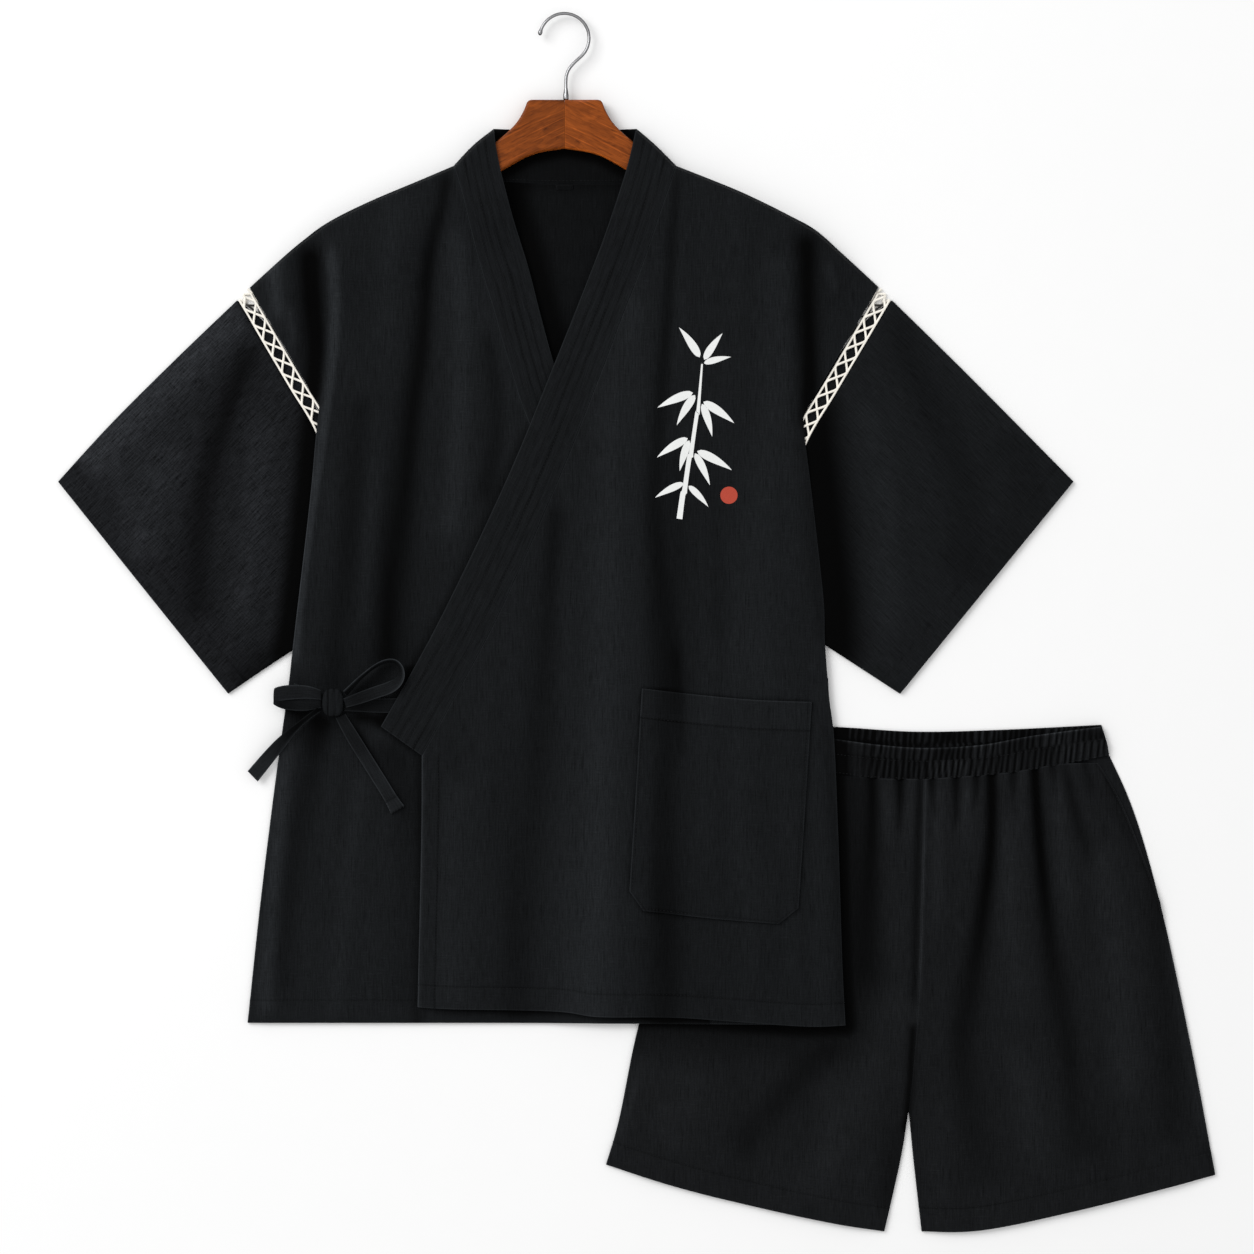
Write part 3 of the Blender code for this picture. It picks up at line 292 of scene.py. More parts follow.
# Columns: half width at the start and end, depth there (below 0 a bright ridge, above 0 a dark trough),
# and the points it runs through
JACKET_FOLDS = [
    (12.2, 11.2, 1.1, 1.1, (-303, 355), (-301, 300), (-298, 253), (-303, 195)),
    (5.6, 4.7, -1.5, -1.3, (-284, 353), (-280, 309), (-282, 253), (-288, 202), (-294, 160), (-304, 86),
     (-313, 16), (-318, -43)),
    (7, 18.6, 0.72, 0.85, (-174, 424), (-183, 374), (-193, 332), (-201, 250), (-209, 196), (-218, 116),
     (-228, 35), (-233, -49)),
    (11.2, 12.1, -0.6, -0.55, (-166, 369), (-160, 250), (-166, 142), (-175, 72)),
    (7.4, 9.3, 0.45, 0.5, (-139, 272), (-128, 186), (-140, 106)),
    (11.2, 15.8, 0.4, 0.55, (-255, 216), (-266, 95), (-276, 11), (-284, -72)),
    (7.4, 7.4, -0.2, -0.2, (-241, 142), (-249, 58), (-255, -17)),
    (13, 11.2, -0.3, -0.15, (-222, 402), (-227, 318), (-231, 244)),
    (8.4, 6.5, -1.4, -1.0, (-339, 343), (-331, 276)),
    (4.7, 4.7, -0.5, -0.4, (-321, 295), (-318, 253)),
    (13, 12.1, 0.5, 0.3, (-294, -96), (-308, -165), (-320, -240), (-333, -352)),
    (8.4, 8.4, -0.9, -0.8, (-326, -108), (-331, -165), (-338, -240), (-346, -371)),
    (9.3, 9.3, -0.3, -0.25, (-251, -137), (-264, -212), (-272, -286), (-280, -371)),
    (9.3, 9.3, 0.15, 0.15, (-213, -212), (-215, -366)),
    (5.6, 18.6, 0.5, 0.56, (38, 424), (35, 369), (31, 300), (23, 207), (16, 114), (23, 39), (29, -54),
     (29, -165), (29, -258), (26, -383)),
    (5.6, 5.6, 0.25, 0.25, (37, -17), (41, -72), (42, -133)),
    (5.6, 5.6, 0.14, 0.14, (19, -147), (18, -221), (22, -286)),
    (18.6, 26, -0.42, -0.62, (-2, 309), (-17, 207), (-25, 67), (-30, -110), (-39, -240), (-45, -383)),
    (26, 24.2, 0.22, 0.2, (45, 160), (33, 67), (30, -17), (38, -95)),
    (10.2, 20.5, 0.42, 0.3, (-72, 114), (-82, 21), (-89, -72), (-97, -165), (-106, -249), (-114, -375)),
    (14, 14, -0.3, -0.3, (-162, -137), (-171, -230), (-174, -366)),
    (18.6, 20.5, -0.36, -0.32, (133, 346), (135, 258), (126, 179), (118, 95), (114, 2), (115, -77)),
    (12.6, 11.2, 1.1, 1.1, (157, 368), (158, 300), (160, 244), (160, 171)),
    (8.4, 8.4, 0.3, 0.3, (160, 179), (167, 58), (173, -26)),
    (6.5, 6.5, 0.3, 0.3, (176, -91), (186, -221), (192, -375)),
    (14.9, 14.9, -0.18, -0.12, (100, -91), (98, -184), (104, -258)),
    (8.4, 8.4, 0.14, 0.14, (74, 142), (74, -17)),
    (4.7, 4.7, -0.5, -0.3, (178, 335), (187, 300)),
]
BOW_SHADOWS = [
    (14.9, 14.9, 1.2, 0.19, (-290, -82), (-296, -102), (-307, -130)),
    (7.4, 7.4, 0.98, 0.88, (-271, -85), (-234, -89), (-209, -72)),
    (6.5, 8.4, 0.91, 0.62, (-328, -72), (-308, -93)),
    (5.6, 5.6, 0.91, 0.38, (-266, -91), (-251, -119), (-234, -151), (-215, -177)),
    (16.7, 14, 0.52, 0.25, (-234, -105), (-218, -156), (-212, -221)),
    (7.4, 5.6, 0.78, 0.5, (-266, -72), (-240, -52), (-227, -43)),
    (7.4, 5.6, 0.78, 0.62, (-209, -39), (-211, -63)),
]
LEFT_SLEEVE_FOLDS = [
    (24.2, 31.6, -1.3, -1.4, (-368, 298), (-415, 255), (-480, 193), (-525, 146)),
    (12.1, 15.8, 0.75, 0.55, (-356, 264), (-377, 208), (-397, 142), (-407, 76), (-409, -3)),
    (13, 13, -0.5, -0.45, (-346, 193), (-352, 114), (-361, 44), (-372, -3)),
    (20.5, 20.5, -0.6, -0.5, (-426, 169), (-452, 114), (-462, 58)),
    (14.9, 18.6, 0.75, 0.6, (-313, -13), (-348, -43), (-376, -67)),
    (13, 13, -0.25, -0.2, (-482, 142), (-473, 95), (-452, 49)),
]
RIGHT_SLEEVE_FOLDS = [
    (18.6, 20.5, 0.3, 0.26, (241, 288), (260, 233), (294, 164), (307, 114), (301, 30)),
    (13, 14.9, -0.3, -0.3, (210, 207), (230, 142), (234, 58), (238, -17)),
    (24.2, 24.2, 0.22, 0.22, (338, 179), (366, 123), (320, 30)),
    (7.4, 7.4, -0.2, -0.2, (256, 283), (301, 238), (375, 165)),
]
SHORTS_FOLDS = [
    (5.6, 14, 0.95, 0.45, (219, -125), (220, -177), (218, -230), (215, -342)),
    (5.2, 2.2, 1, 0.5, (245, -127), (246, -170), (243, -203)),
    (5.6, 6.5, -0.3, -0.3, (232, -146), (236, -212)),
    (5.6, 6.5, -0.35, -0.3, (257, -146), (254, -212)),
    (6.5, 8.4, -0.4, -0.35, (280, -146), (282, -221), (280, -286)),
    (5.2, 2.2, 0.9, 0.5, (297, -127), (298, -170), (296, -198)),
    (5.6, 6.5, -0.4, -0.35, (309, -142), (307, -212)),
    (10.2, 12.1, -0.4, -0.3, (346, -175), (347, -230), (351, -296), (359, -361)),
    (5.2, 2.2, 0.75, 0.4, (351, -125), (351, -171)),
    (4.7, 4.7, -0.25, -0.2, (360, -135), (359, -193)),
    (5.6, 7.4, -0.4, -0.35, (391, -137), (396, -203), (405, -268)),
    (5.2, 2.2, 0.65, 0.4, (387, -120), (390, -165)),
    (3.7, 7.4, 0.6, 0.4, (398, -128), (409, -179), (426, -230)),
    (3.7, 5.6, 0.5, 0.35, (414, -115), (426, -165)),
    (13, 14.9, -0.35, -0.3, (431, -203), (444, -277), (450, -351), (459, -444)),
    (11.2, 14, 0.3, 0.3, (471, -212), (485, -285), (493, -376), (498, -491)),
    (4.7, 4.7, -0.5, -0.5, (494, -286), (513, -389), (531, -486)),
    (13, 13, -0.3, -0.3, (349, -389), (366, -454), (379, -519)),
    (14, 16.7, 0.5, 0.4, (191, -389), (139, -439), (92, -500)),
    (16.7, 18.6, -0.26, -0.3, (241, -342), (212, -426), (180, -491), (152, -542)),
    (18.6, 18.6, -0.28, -0.28, (59, -416), (41, -463), (33, -500)),
    (11.2, 14.9, 0.4, 0.4, (251, -458), (240, -509), (230, -551)),
    (5.6, 5.6, -0.45, -0.45, (5, -407), (-8, -454), (-23, -496)),
    (3.7, 3.7, 0.55, 0.5, (265, -128), (262, -240), (259, -361)),
    (3.3, 3.3, -0.5, -0.45, (270, -135), (267, -240), (264, -351)),
    (5.6, 5.6, 0.35, 0.3, (433, -128), (450, -179), (466, -221)),
    (5.2, 19, 1.2, 0.25, (330, -124), (331, -193), (327, -240), (319, -297), (308, -365), (305, -412),
     (316, -468), (334, -530)),
    (4.7, 17, 1.15, 0.3, (370, -124), (376, -212), (384, -285), (394, -361), (404, -416), (422, -505)),
    (4.8, 2.2, 0.85, 0.4, (275, -127), (276, -160), (279, -186)),
    (4.6, 2, 0.8, 0.4, (317, -127), (316, -158), (312, -178)),
]
FOLD_HEIGHT = 4.4
FOLD_FADE = 26.0  # length over which a crease dies out at its ends


def along_line(points, x, y):
    """Distance from a line of points, distance along it, and its length."""
    best, reach, so_far = np.full(np.shape(x), 1e9), np.zeros(np.shape(x)), 0.0
    for (ax, ay), (bx, by) in zip(points, points[1:]):
        dx, dy = bx - ax, by - ay
        length = math.hypot(dx, dy)
        share = np.clip(((x - ax) * dx + (y - ay) * dy) / length ** 2, 0, 1)
        gap = np.hypot(x - ax - dx * share, y - ay - dy * share)
        reach = np.where(gap < best, so_far + share * length, reach)
        best = np.minimum(best, gap)
        so_far += length
    return best, reach, so_far


def creases(table, x, y):
    """Height and painted shade that a table of creases adds: each dies out softly at its ends."""
    total = np.zeros(np.shape(x))
    for first_width, last_width, first_depth, last_depth, *points in table:
        line = curve_through(points, 5)(np.linspace(0, 1, 3 * len(points))).tolist()
        gap, reach, length = along_line(line, x, y)
        share = ease(reach / length)
        half_width = first_width + (last_width - first_width) * share
        depth = first_depth + (last_depth - first_depth) * share
        fade = min(FOLD_FADE, 0.32 * length)
        ends = ease(0.25 + reach / fade) * ease(0.25 + (length - reach) / fade)
        total += depth * np.exp(-(gap / half_width) ** 2) * ends
    return -FOLD_HEIGHT * np.clip(total, -0.5, 1.0), total


print("creases on the jacket:", len(JACKET_FOLDS), "on the shorts:", len(SHORTS_FOLDS),
      "on the sleeves:", len(LEFT_SLEEVE_FOLDS + RIGHT_SLEEVE_FOLDS))

# %% [markdown]
# A flat garment is a stack: floor, back, under front, over front, pocket. Each layer could be given a
# height of its own, but then it would float at its edges. The same rules as in the solid model put each
# layer on the one below it instead, so that the cloth sits where the solid piece is. What is added is
# small: the creases, and long soft waves of about half a millimetre.

# %% How high the jacket lies
SHORTS_LIFT = 4.4  # how far the shorts lift the jacket that lies on them
HANGER_LIFT, SLEEVE_LIFT, SIDE_LIFT = 13.0, 2.6, 2.6  # how far these lift the fronts off the back
HANGER_REACH = 78.0  # from the hanger's outline to where the cloth is down again
OVERLAP_LIFT = 3.4  # the over front's rise across the under front and its collar


def back_under(x, y):
    """Underside of the jacket's back: on the floor, and over the hidden part of the shorts."""
    return SHORTS_LIFT * ease(1 - (outside_distance(SHORTS_OUTLINE, x, y) - 10) / 80)


def front_floor(x, y):
    """What the fronts lie on: the back's top, which they bridge a little where it slopes."""
    under = back_under(x, y)
    share = under / SHORTS_LIFT
    return under + CLOTH + LAYER + 0.6 * np.minimum(1.0, 8 * share * (1 - share))


def front_swell(x, y):
    """How far the fronts stand off the back, and the painted shade of their creases."""
    top = np.minimum(distance_to(JACKET_TOP[0], x, y), distance_to(JACKET_TOP[1], x, y))
    off_hanger = outside_distance(HANGER_OUTLINE, x, y) - 5
    hanger = HANGER_LIFT * ease(1 - off_hanger / HANGER_REACH)
    armhole = np.minimum(distance_to(LACE_LINE_LEFT + FOLD_LEFT[1:], x, y),
                         distance_to(LACE_LINE_RIGHT + FOLD_RIGHT[1:], x, y))
    sleeve = SLEEVE_LIFT * ease(1.5 - armhole / 58) * ease(1 - (-27 - y) / 45)
    side = np.minimum(distance_to(SIDE_LEFT, x, y), distance_to(SIDE_RIGHT, x, y))
    drape = SIDE_LIFT * ease(side / 45) * (0.35 + 0.65 * ease((y + 372) / 70))
    height, shade = creases(JACKET_FOLDS, x, y)
    waves = 0.55 * soft_noise(x, y, 34, 190, 3) + 0.25 * soft_noise(x, y, 16, 70, 4)
    shade = shade + 0.1 * soft_noise(x, y, 13, 150, 5)
    swell = (hanger ** 3 + sleeve ** 3 + drape ** 3) ** (1 / 3)
    swell += (height + waves * ease(side / 25)) * ease(side / 30) * (0.35 + 0.65 * ease(off_hanger / 12))
    rolled = ease(top / 5)
    return rolled * np.maximum(np.maximum(swell, sleeve * ease((262 - y) / 30)), 0.0), shade


def under_front_under(x, y):
    """Underside of the under front and its collar: it lies close where the over front covers it."""
    covered = ease((x - x_at(FRONT_EDGE, y) - 6) / 50) * ease((300 - y) / 60)
    swell, shade = front_swell(x, y)
    return front_floor(x, y) + 0.3 * covered + swell * (1 - covered), shade


def over_front_under(x, y):
    """Underside of the over front and its collar, which pass over the under front and its collar."""
    swell, shade = front_swell(x, y)
    overlap = OVERLAP_LIFT * ease((170 - x) / 60) * ease((345 - y) / 80)
    return front_floor(x, y) + swell + overlap, shade


middle = np.array(-20.0), np.array(400.0)
print("the jacket's front rises to", round(float(over_front_under(*middle)[0]), 1), "mm")

# %% [markdown]
# The shorts are a flatter stack: two backs, two fronts and a band that is thicker than both. Where the
# jacket covers them they are pressed flat, and they come up gently once they are clear of its edge.

# %% How high the shorts lie
LEG_LIFT, MOUTH_LIFT = 4.2, 1.7  # how far the legs and the pocket's mouth stand off the backs


def shorts_shown(x, y):
    """0 where the jacket covers the shorts, and 1 once well clear of its edge."""
    covered = (x < x_at(SIDE_RIGHT, y)) & (y > SIDE_RIGHT[-1][1])
    return np.where(covered, 0.0, ease((distance_to(JACKET_CORNER, x, y) - 4) / 45))


def shorts_back_under(x, y):
    """Underside of the shorts' back: flat, but for the roll that reaches round to the pocket's mouth."""
    return 1.6 * ease(1 - distance_to(POCKET_MOUTH, x, y) / 16) * ease(distance_to(SHORTS_RIGHT, x, y) / 9)


def shorts_front_under(x, y):
    """Underside of the shorts' front, with its folds and the gathers below the waistband."""
    side = np.minimum(np.minimum(distance_to(SHORTS_LEFT, x, y), distance_to(SHORTS_RIGHT, x, y)),
                      np.minimum(distance_to(INSEAM_LEFT, x, y), distance_to(INSEAM_RIGHT, x, y)) + 3)
    mouth = distance_to(POCKET_MOUTH, x, y)
    swell = LEG_LIFT * ease(side / 42) * (0.45 + 0.55 * ease(distance_to(HEM_LEFT + HEM_RIGHT, x, y) / 60))
    height, shade = creases(SHORTS_FOLDS, x, y)
    shade = shade + 0.08 * soft_noise(x, y, 13, 130, 9)
    waves = 0.5 * soft_noise(x, y, 32, 150, 7) + 0.2 * soft_noise(x, y, 15, 60, 8)
    swell += (height + waves * ease(side / 20)) * ease(side / 26)
    swell = np.maximum(swell, 0.0) * shorts_shown(x, y)
    return CLOTH + LAYER + np.maximum(swell, MOUTH_LIFT * ease(1.3 - mouth / 20)), shade


leg_middle = np.array(400.0), np.array(-300.0)
print("a leg of the shorts rises to", round(float(shorts_front_under(*leg_middle)[0]), 1), "mm")

# %% [markdown]
# A finish is what light meets: dull cloth, cord, varnish, plated wire. In Blender it is a small graph of
# nodes. The graph could be wired by hand, but written as sums it is easier to read, so a class wraps one
# socket and turns Python's operators into Math nodes. One more method adds any other kind of node.

# %% Materials written as sums


class Value:
    """A socket of a material. The operators on it add Math nodes."""

    def __init__(self, finish, socket):
        self.finish, self.socket = finish, socket

    def math(self, operation, *values):
        return self.finish.add("ShaderNodeMath", {"operation": operation}, dict(enumerate(values)))

    def __add__(self, other):
        return self.math("ADD", self, other)

    def __sub__(self, other):
        return self.math("SUBTRACT", self, other)

    def __rsub__(self, other):
        return self.math("SUBTRACT", other, self)

    def __mul__(self, other):
        return self.math("MULTIPLY", self, other)

    __radd__, __rmul__ = __add__, __mul__

    def step(self, low, high):
        """0 at low, 1 at high, and smooth between."""
        return self.finish.add("ShaderNodeMapRange", {"interpolation_type": "SMOOTHSTEP"},
                               {0: self, 1: low, 2: high})

    def size(self):
        """The value without its sign."""
        return self.math("ABSOLUTE", self)


class Finish:
    """A material under construction, with constants for its shader's own sockets."""

    def __init__(self, name, constants):
        self.material = bpy.data.materials.new(name)
        self.material.use_nodes = True
        self.tree = self.material.node_tree
        self.shader = self.tree.nodes["Principled BSDF"]
        for socket, value in constants.items():
            self.shader.inputs[socket].default_value = value

    def put(self, socket, value):
        """Link a value to a socket, or set it there."""
        if isinstance(value, Value):
            self.tree.links.new(value.socket, socket)
        else:
            socket.default_value = value

    def add(self, kind, settings, sockets, out=0):
        """Add a node: its settings first, then its sockets' values or links."""
        node = self.tree.nodes.new(kind)
        for key, value in settings.items():
            setattr(node, key, value)
        for key, value in sockets.items():
            self.put(node.inputs[key], value)
        return Value(self, node.outputs[out])

    def spots(self, place, scale, detail=2.0, rough=0.5, stretch_by=(1, 1, 1), twist=0.0):
        """Noise at so many features a metre, stretched along the axes."""
        place = self.add("ShaderNodeMapping", {}, {"Vector": place, "Scale": [scale * s for s in stretch_by]})
        return self.add("ShaderNodeTexNoise", {}, {"Vector": place, "Scale": 1.0, "Detail": detail,
                                                   "Roughness": rough, "Distortion": twist})

    def blend(self, share, first, second):
        """A colour between two others."""
        return self.add("ShaderNodeMix", {"data_type": "RGBA"}, {0: share, 6: first, 7: second}, 2)

    def tint(self, colour, amount):
        """A colour made lighter or darker by a value around 1."""
        grey = self.add("ShaderNodeCombineXYZ", {}, {0: amount, 1: amount, 2: amount})
        return self.add("ShaderNodeVectorMath", {"operation": "MULTIPLY"}, {0: colour, 1: grey})

    def place(self):
        """Where a point is on the piece, in metres."""
        return self.add("ShaderNodeTexCoord", {}, {}, 3)

    def number(self, label):
        """A number that the mesh keeps for each of its points."""
        return self.add("ShaderNodeAttribute", {"attribute_name": label}, {}, 2)

    def done(self, colour, roughness, height, depth):
        """Feed the shader, with a bump whose full height is depth metres."""
        bump = self.add("ShaderNodeBump", {}, {"Height": height, "Distance": depth, "Strength": 1.0})
        for name, value in (("Base Color", colour), ("Roughness", roughness), ("Normal", bump)):
            self.put(self.shader.inputs[name], value)
        return self.material


# %% [markdown]
# The cloth is a slub weave, nearly black. Its threads are uneven: longer, thicker runs show as faint
# pale dashes, mostly along the warp. A drawn image of the weave would repeat and blur, so noise stretched
# along each thread makes it, at any scale. It reads the piece's own map, in metres along its grain, so
# that it turns with each piece. Folded edges get a painted highlight, and the painted shade that each mesh
# keeps makes crease bottoms darker and ridges lighter.

# %% The cloth's material


def cloth_material(name, colour, light, contrast=1.0):
    """Slub weave in a colour. The third argument is how much paler its edges are painted, as a highlight, and
    contrast how strong its threads are.
    """
    finish = Finish(name, {"Specular IOR Level": 0.045})
    place = finish.add("ShaderNodeUVMap", {"uv_map": "grain"}, {})
    edge, shade = finish.number("edge"), finish.number("shade")
    warp = finish.spots(place, 1000, 2.0, 0.6, (0.95, 0.065, 1))
    weft = finish.spots(place, 1000, 2.0, 0.6, (0.06, 0.95, 1))
    pale_warp = finish.spots(place, 1000, 1.0, 0.5, (0.6, 0.04, 1)).step(0.60, 0.72)
    pale_weft = finish.spots(place, 1000, 1.0, 0.5, (0.07, 0.75, 1)).step(0.62, 0.72)
    deep_warp = finish.spots(place, 1000, 1.0, 0.5, (0.55, 0.028, 1.7)).step(0.58, 0.70)
    fleck = finish.spots(place, 1000, 2.0, 0.7, (0.62, 0.62, 1))
    cloudy = finish.spots(place, 22, 3.0, 0.55, (1.6, 0.6, 1))
    threads = 1.275 * (1 - contrast) + contrast * (1.25 * warp + 0.5 * weft + 0.8 * fleck)
    # painted highlight: folded edges made paler, as where they catch the light
    painted_edge_highlight = (1 - edge.step(0.1, 1.5)) * light
    amount = (threads - 0.3) * (0.86 + 0.28 * cloudy) + 0.18 * pale_warp + 0.24 * pale_weft
    amount = amount - 0.2 * deep_warp + painted_edge_highlight
    # painted shade: the mesh's shade number darkens creases, and below 0 paints ridges lighter
    amount = amount.math("MAXIMUM", amount, 0.12) * (1 - shade)
    grit = finish.spots(place, 1000, 0.0, 0.5, (1.4, 1.4, 1))
    height = 0.16 * threads + 0.2 * pale_warp + 0.25 * pale_weft + 0.4 * grit
    return finish.done(finish.tint(colour, amount), 0.78 + 0.14 * weft, height, 0.00035)


BLACK_CLOTH = cloth_material("slub cloth", (0.0073, 0.0081, 0.0090), 0.95)
SHORTS_CLOTH = cloth_material("slub cloth, shorts", (0.0073, 0.0079, 0.0087), 0.85)
# painted light: the same cloth made lighter for the left sleeve, which the lamp lights more
PAINTED_LIT_CLOTH = cloth_material("slub cloth, lit sleeve", (0.0082, 0.0088, 0.0100), 0.9, 2.2)
THREAD_FINISH = Finish("sewing thread", {"Specular IOR Level": 0.06})
thread_twist = THREAD_FINISH.spots(THREAD_FINISH.place(), 3000, 1.0)
THREAD = THREAD_FINISH.done(THREAD_FINISH.tint((0.0118, 0.0124, 0.0135), 0.5 + thread_twist),
                            0.7 + 0.1 * thread_twist, thread_twist, 0.0001)
print("materials:", len(bpy.data.materials))

# %% [markdown]
# Cut cloth has a top, an underside and a turned edge. A thickness modifier would be quicker, but its edge
# is square all round. One function makes every panel instead: a top and an underside over the same plan,
# with a rim that closes them, and three things for the material: the grain map, the distance from the edge,
# for a painted edge highlight, and the painted shade. An edge rolls down, a stitched one has a groove, and a
# hem is a thicker band.

# %% Meshes from arrays
EDGE_ROWS = (0.0, 0.5, 1.2, 2.0, 2.7, 3.4, 4.6, 7.0)
STITCH_IN = 2.7
PIECES = {}
STITCH_PATHS = {"jacket": [], "shorts": []}


LIGHTEST, DARKEST = -1.4, 0.97  # limits of shade: below 0 is lit, 1 would be black
FOLDED = ("fold", "fold", "fold", "fold")
HEMMED = ("fold", "fold", "fold", "hem")


def link(name, data):
    """An object for a mesh, curve, lamp or camera, put in the scene."""
    thing = bpy.data.objects.new(name, data)
    bpy.context.scene.collection.objects.link(thing)
    return thing


def show(name, mesh, material):
    """A finished mesh as one of the set's pieces."""
    mesh.materials.clear()
    mesh.materials.append(material)
    PIECES[name] = link(name, mesh)
    return PIECES[name]


def keep_number(mesh, label, values):
    """Keep a number for each of a mesh's points, for its material to read."""
    mesh.attributes.new(label, "FLOAT", "POINT").data.foreach_set("value", values.astype(np.float32))


def lay_grain(mesh, grain):
    """The map that turns the weave with a piece, from a place in millimetres for each point."""
    corner = np.zeros(len(mesh.loops), int)
    mesh.loops.foreach_get("vertex_index", corner)
    layer = mesh.uv_layers.get("grain") or mesh.uv_layers.new(name="grain")
    layer.data.foreach_set("uv", (grain * MM)[corner].ravel())


def state_size(thing, width, length, area):
    """Keep a piece's flat size, given in millimetres, on the piece."""
    thing["width"], thing["length"] = float(width * MM), float(length * MM)
    thing["area"] = float(area * MM * MM)


def hem_rows(depth):
    """Distances from a hemmed edge at which a panel has rows."""
    return EDGE_ROWS + (depth - 2.2, depth - 1.0, depth - 0.4, depth, depth + 0.6, depth + 1.4, depth + 3)


def groove_at(gap, distance):
    """1 in the groove that a row of stitches draws, at a distance from an edge."""
    return np.exp(-((gap - distance) / 0.75) ** 2)


def doubled(gap, depth):
    """1 where a hem makes the cloth double, and 0 past its stitches."""
    return ease((depth + 0.3 - gap) / 1.2)


def edge_form(gaps, styles, depth, x, y):
    """Height and painted shade along a panel's four sides. A style is "", "fold", "stitched" or "hem"."""
    height, shade = np.zeros(x.shape), np.zeros(x.shape)
    for gap, style in zip(gaps, styles):
        if not style:
            continue
        height -= 0.6 * np.clip(1 - gap / 1.5, 0, 1) ** 2
        rows = []
        if style == "stitched":
            rows.append(STITCH_IN)
        if style == "hem":
            rows.append(depth)
            height += 0.45 * doubled(gap, depth)
        for row in rows:
            groove = groove_at(gap, row)
            height -= 0.4 * groove
            # painted shade in the groove of each row of stitches
            shade = np.maximum(shade, 0.3 * groove)
            height += 0.16 * soft_noise(x, y, 5.5, 5.5, 21) * np.exp(-((gap - row) / 6) ** 2)
    return height, shade


def make_mesh(name, points, faces, material, grain, edge, shade):
    """An object from arrays of points in millimetres, with its grain map and attributes."""
    mesh = bpy.data.meshes.new(name)
    mesh.from_pydata((points * MM).tolist(), [], faces.tolist())
    lay_grain(mesh, grain)
    keep_number(mesh, "edge", edge)
    keep_number(mesh, "shade", shade)
    mesh.polygons.foreach_set("use_smooth", np.ones(len(mesh.polygons), bool))
    return show(name, mesh, material)


def grid_faces(rows, columns, start=0, around=False):
    """Four-sided faces of a grid of points, facing the reader who sees rows run down."""
    r, c = np.meshgrid(np.arange(rows - 1), np.arange(columns if around else columns - 1), indexing="ij")
    d = (c + 1) % columns
    return np.stack([r * columns + c, (r + 1) * columns + c, (r + 1) * columns + d, r * columns + d],
                    -1).reshape(-1, 4) + start


def close_wall(name, top, under, material, grain, edge, shade):
    """A closed wall from two grids of points that share their rim."""
    rows, columns = top.shape[:2]
    count = rows * columns
    index = np.arange(count).reshape(rows, columns)
    rim = np.concatenate([index[0, :-1], index[:-1, -1], index[-1, :0:-1], index[:0:-1, 0]])
    after = np.roll(rim, -1)
    faces = np.vstack([grid_faces(rows, columns), grid_faces(rows, columns, count)[:, ::-1],
                       np.stack([rim, after, after + count, rim + count], -1)])
    points = np.vstack([top.reshape(-1, 3), under.reshape(-1, 3)])
    twice = [np.concatenate([values.reshape(-1), values.reshape(-1)]) for values in (edge, shade)]
    grain = np.vstack([grain.reshape(-1, 2)] * 2)
    return make_mesh(name, points, faces, material, grain, *twice)


print("rows near the jacket's hem:", hem_rows(JACKET_HEM))

# %% Panels


def panel(name, plan, under, shade, thickness=CLOTH, styles=FOLDED, depth=JACKET_HEM, material=BLACK_CLOTH,
          extra=0.0, extra_shade=0.0):
    """A cloth panel on an underside. styles are its left, right, top and bottom edges."""
    x, y = plan[..., 0], plan[..., 1]
    gaps = margins(plan)
    form, form_shade = edge_form(gaps, styles, depth, x, y)
    top = under + thickness + form + extra
    edge = np.full(x.shape, 9.0)
    for gap, style in zip(gaps, styles):
        if style:
            edge = np.minimum(edge, gap)
    shade = np.clip(shade + form_shade + extra_shade, LIGHTEST, DARKEST)
    thing = close_wall(name, np.dstack([plan, top]), np.dstack([plan, under]), material, plan, edge, shade)
    across, down = np.diff(plan, axis=1)[:-1], np.diff(plan, axis=0)[:, :-1]
    cells = across[..., 1] * down[..., 0] - across[..., 0] * down[..., 1]
    state_size(thing, gaps[0][:, -1].max(), gaps[2][-1].max(), cells.sum())
    print(f"{name}: {len(thing.data.polygons)} faces, {thing['area']:.3f} square metres")
    return np.dstack([plan, top]), gaps


def path_by_row(points, gap, distance, start=0, end=None):
    """The row of points nearest a distance from a side."""
    row = int(np.argmin(np.abs(np.median(gap, axis=1) - distance)))
    return points[row, start:end]


def path_by_column(points, gap, distance, start=0, end=None):
    """The column of points nearest a distance from a side."""
    column = int(np.argmin(np.abs(np.median(gap[start:end], axis=0) - distance)))
    return points[start:end, column]


# %% [markdown]
# The jacket's back is one wide panel. Little of it shows: the neck, a strip at the hem and the gaps in
# the lace. The two fronts cross over it, the wearer's left one on top. The jacket could be one mesh, but
# each piece is cut by itself, and its grain and hems follow its own edges.

# %% The back and the fronts


def armhole_edge(table, distance):
    """The body's edge at an armhole, a lace's width inside it."""
    return beside(curve_through(table), distance, 24)


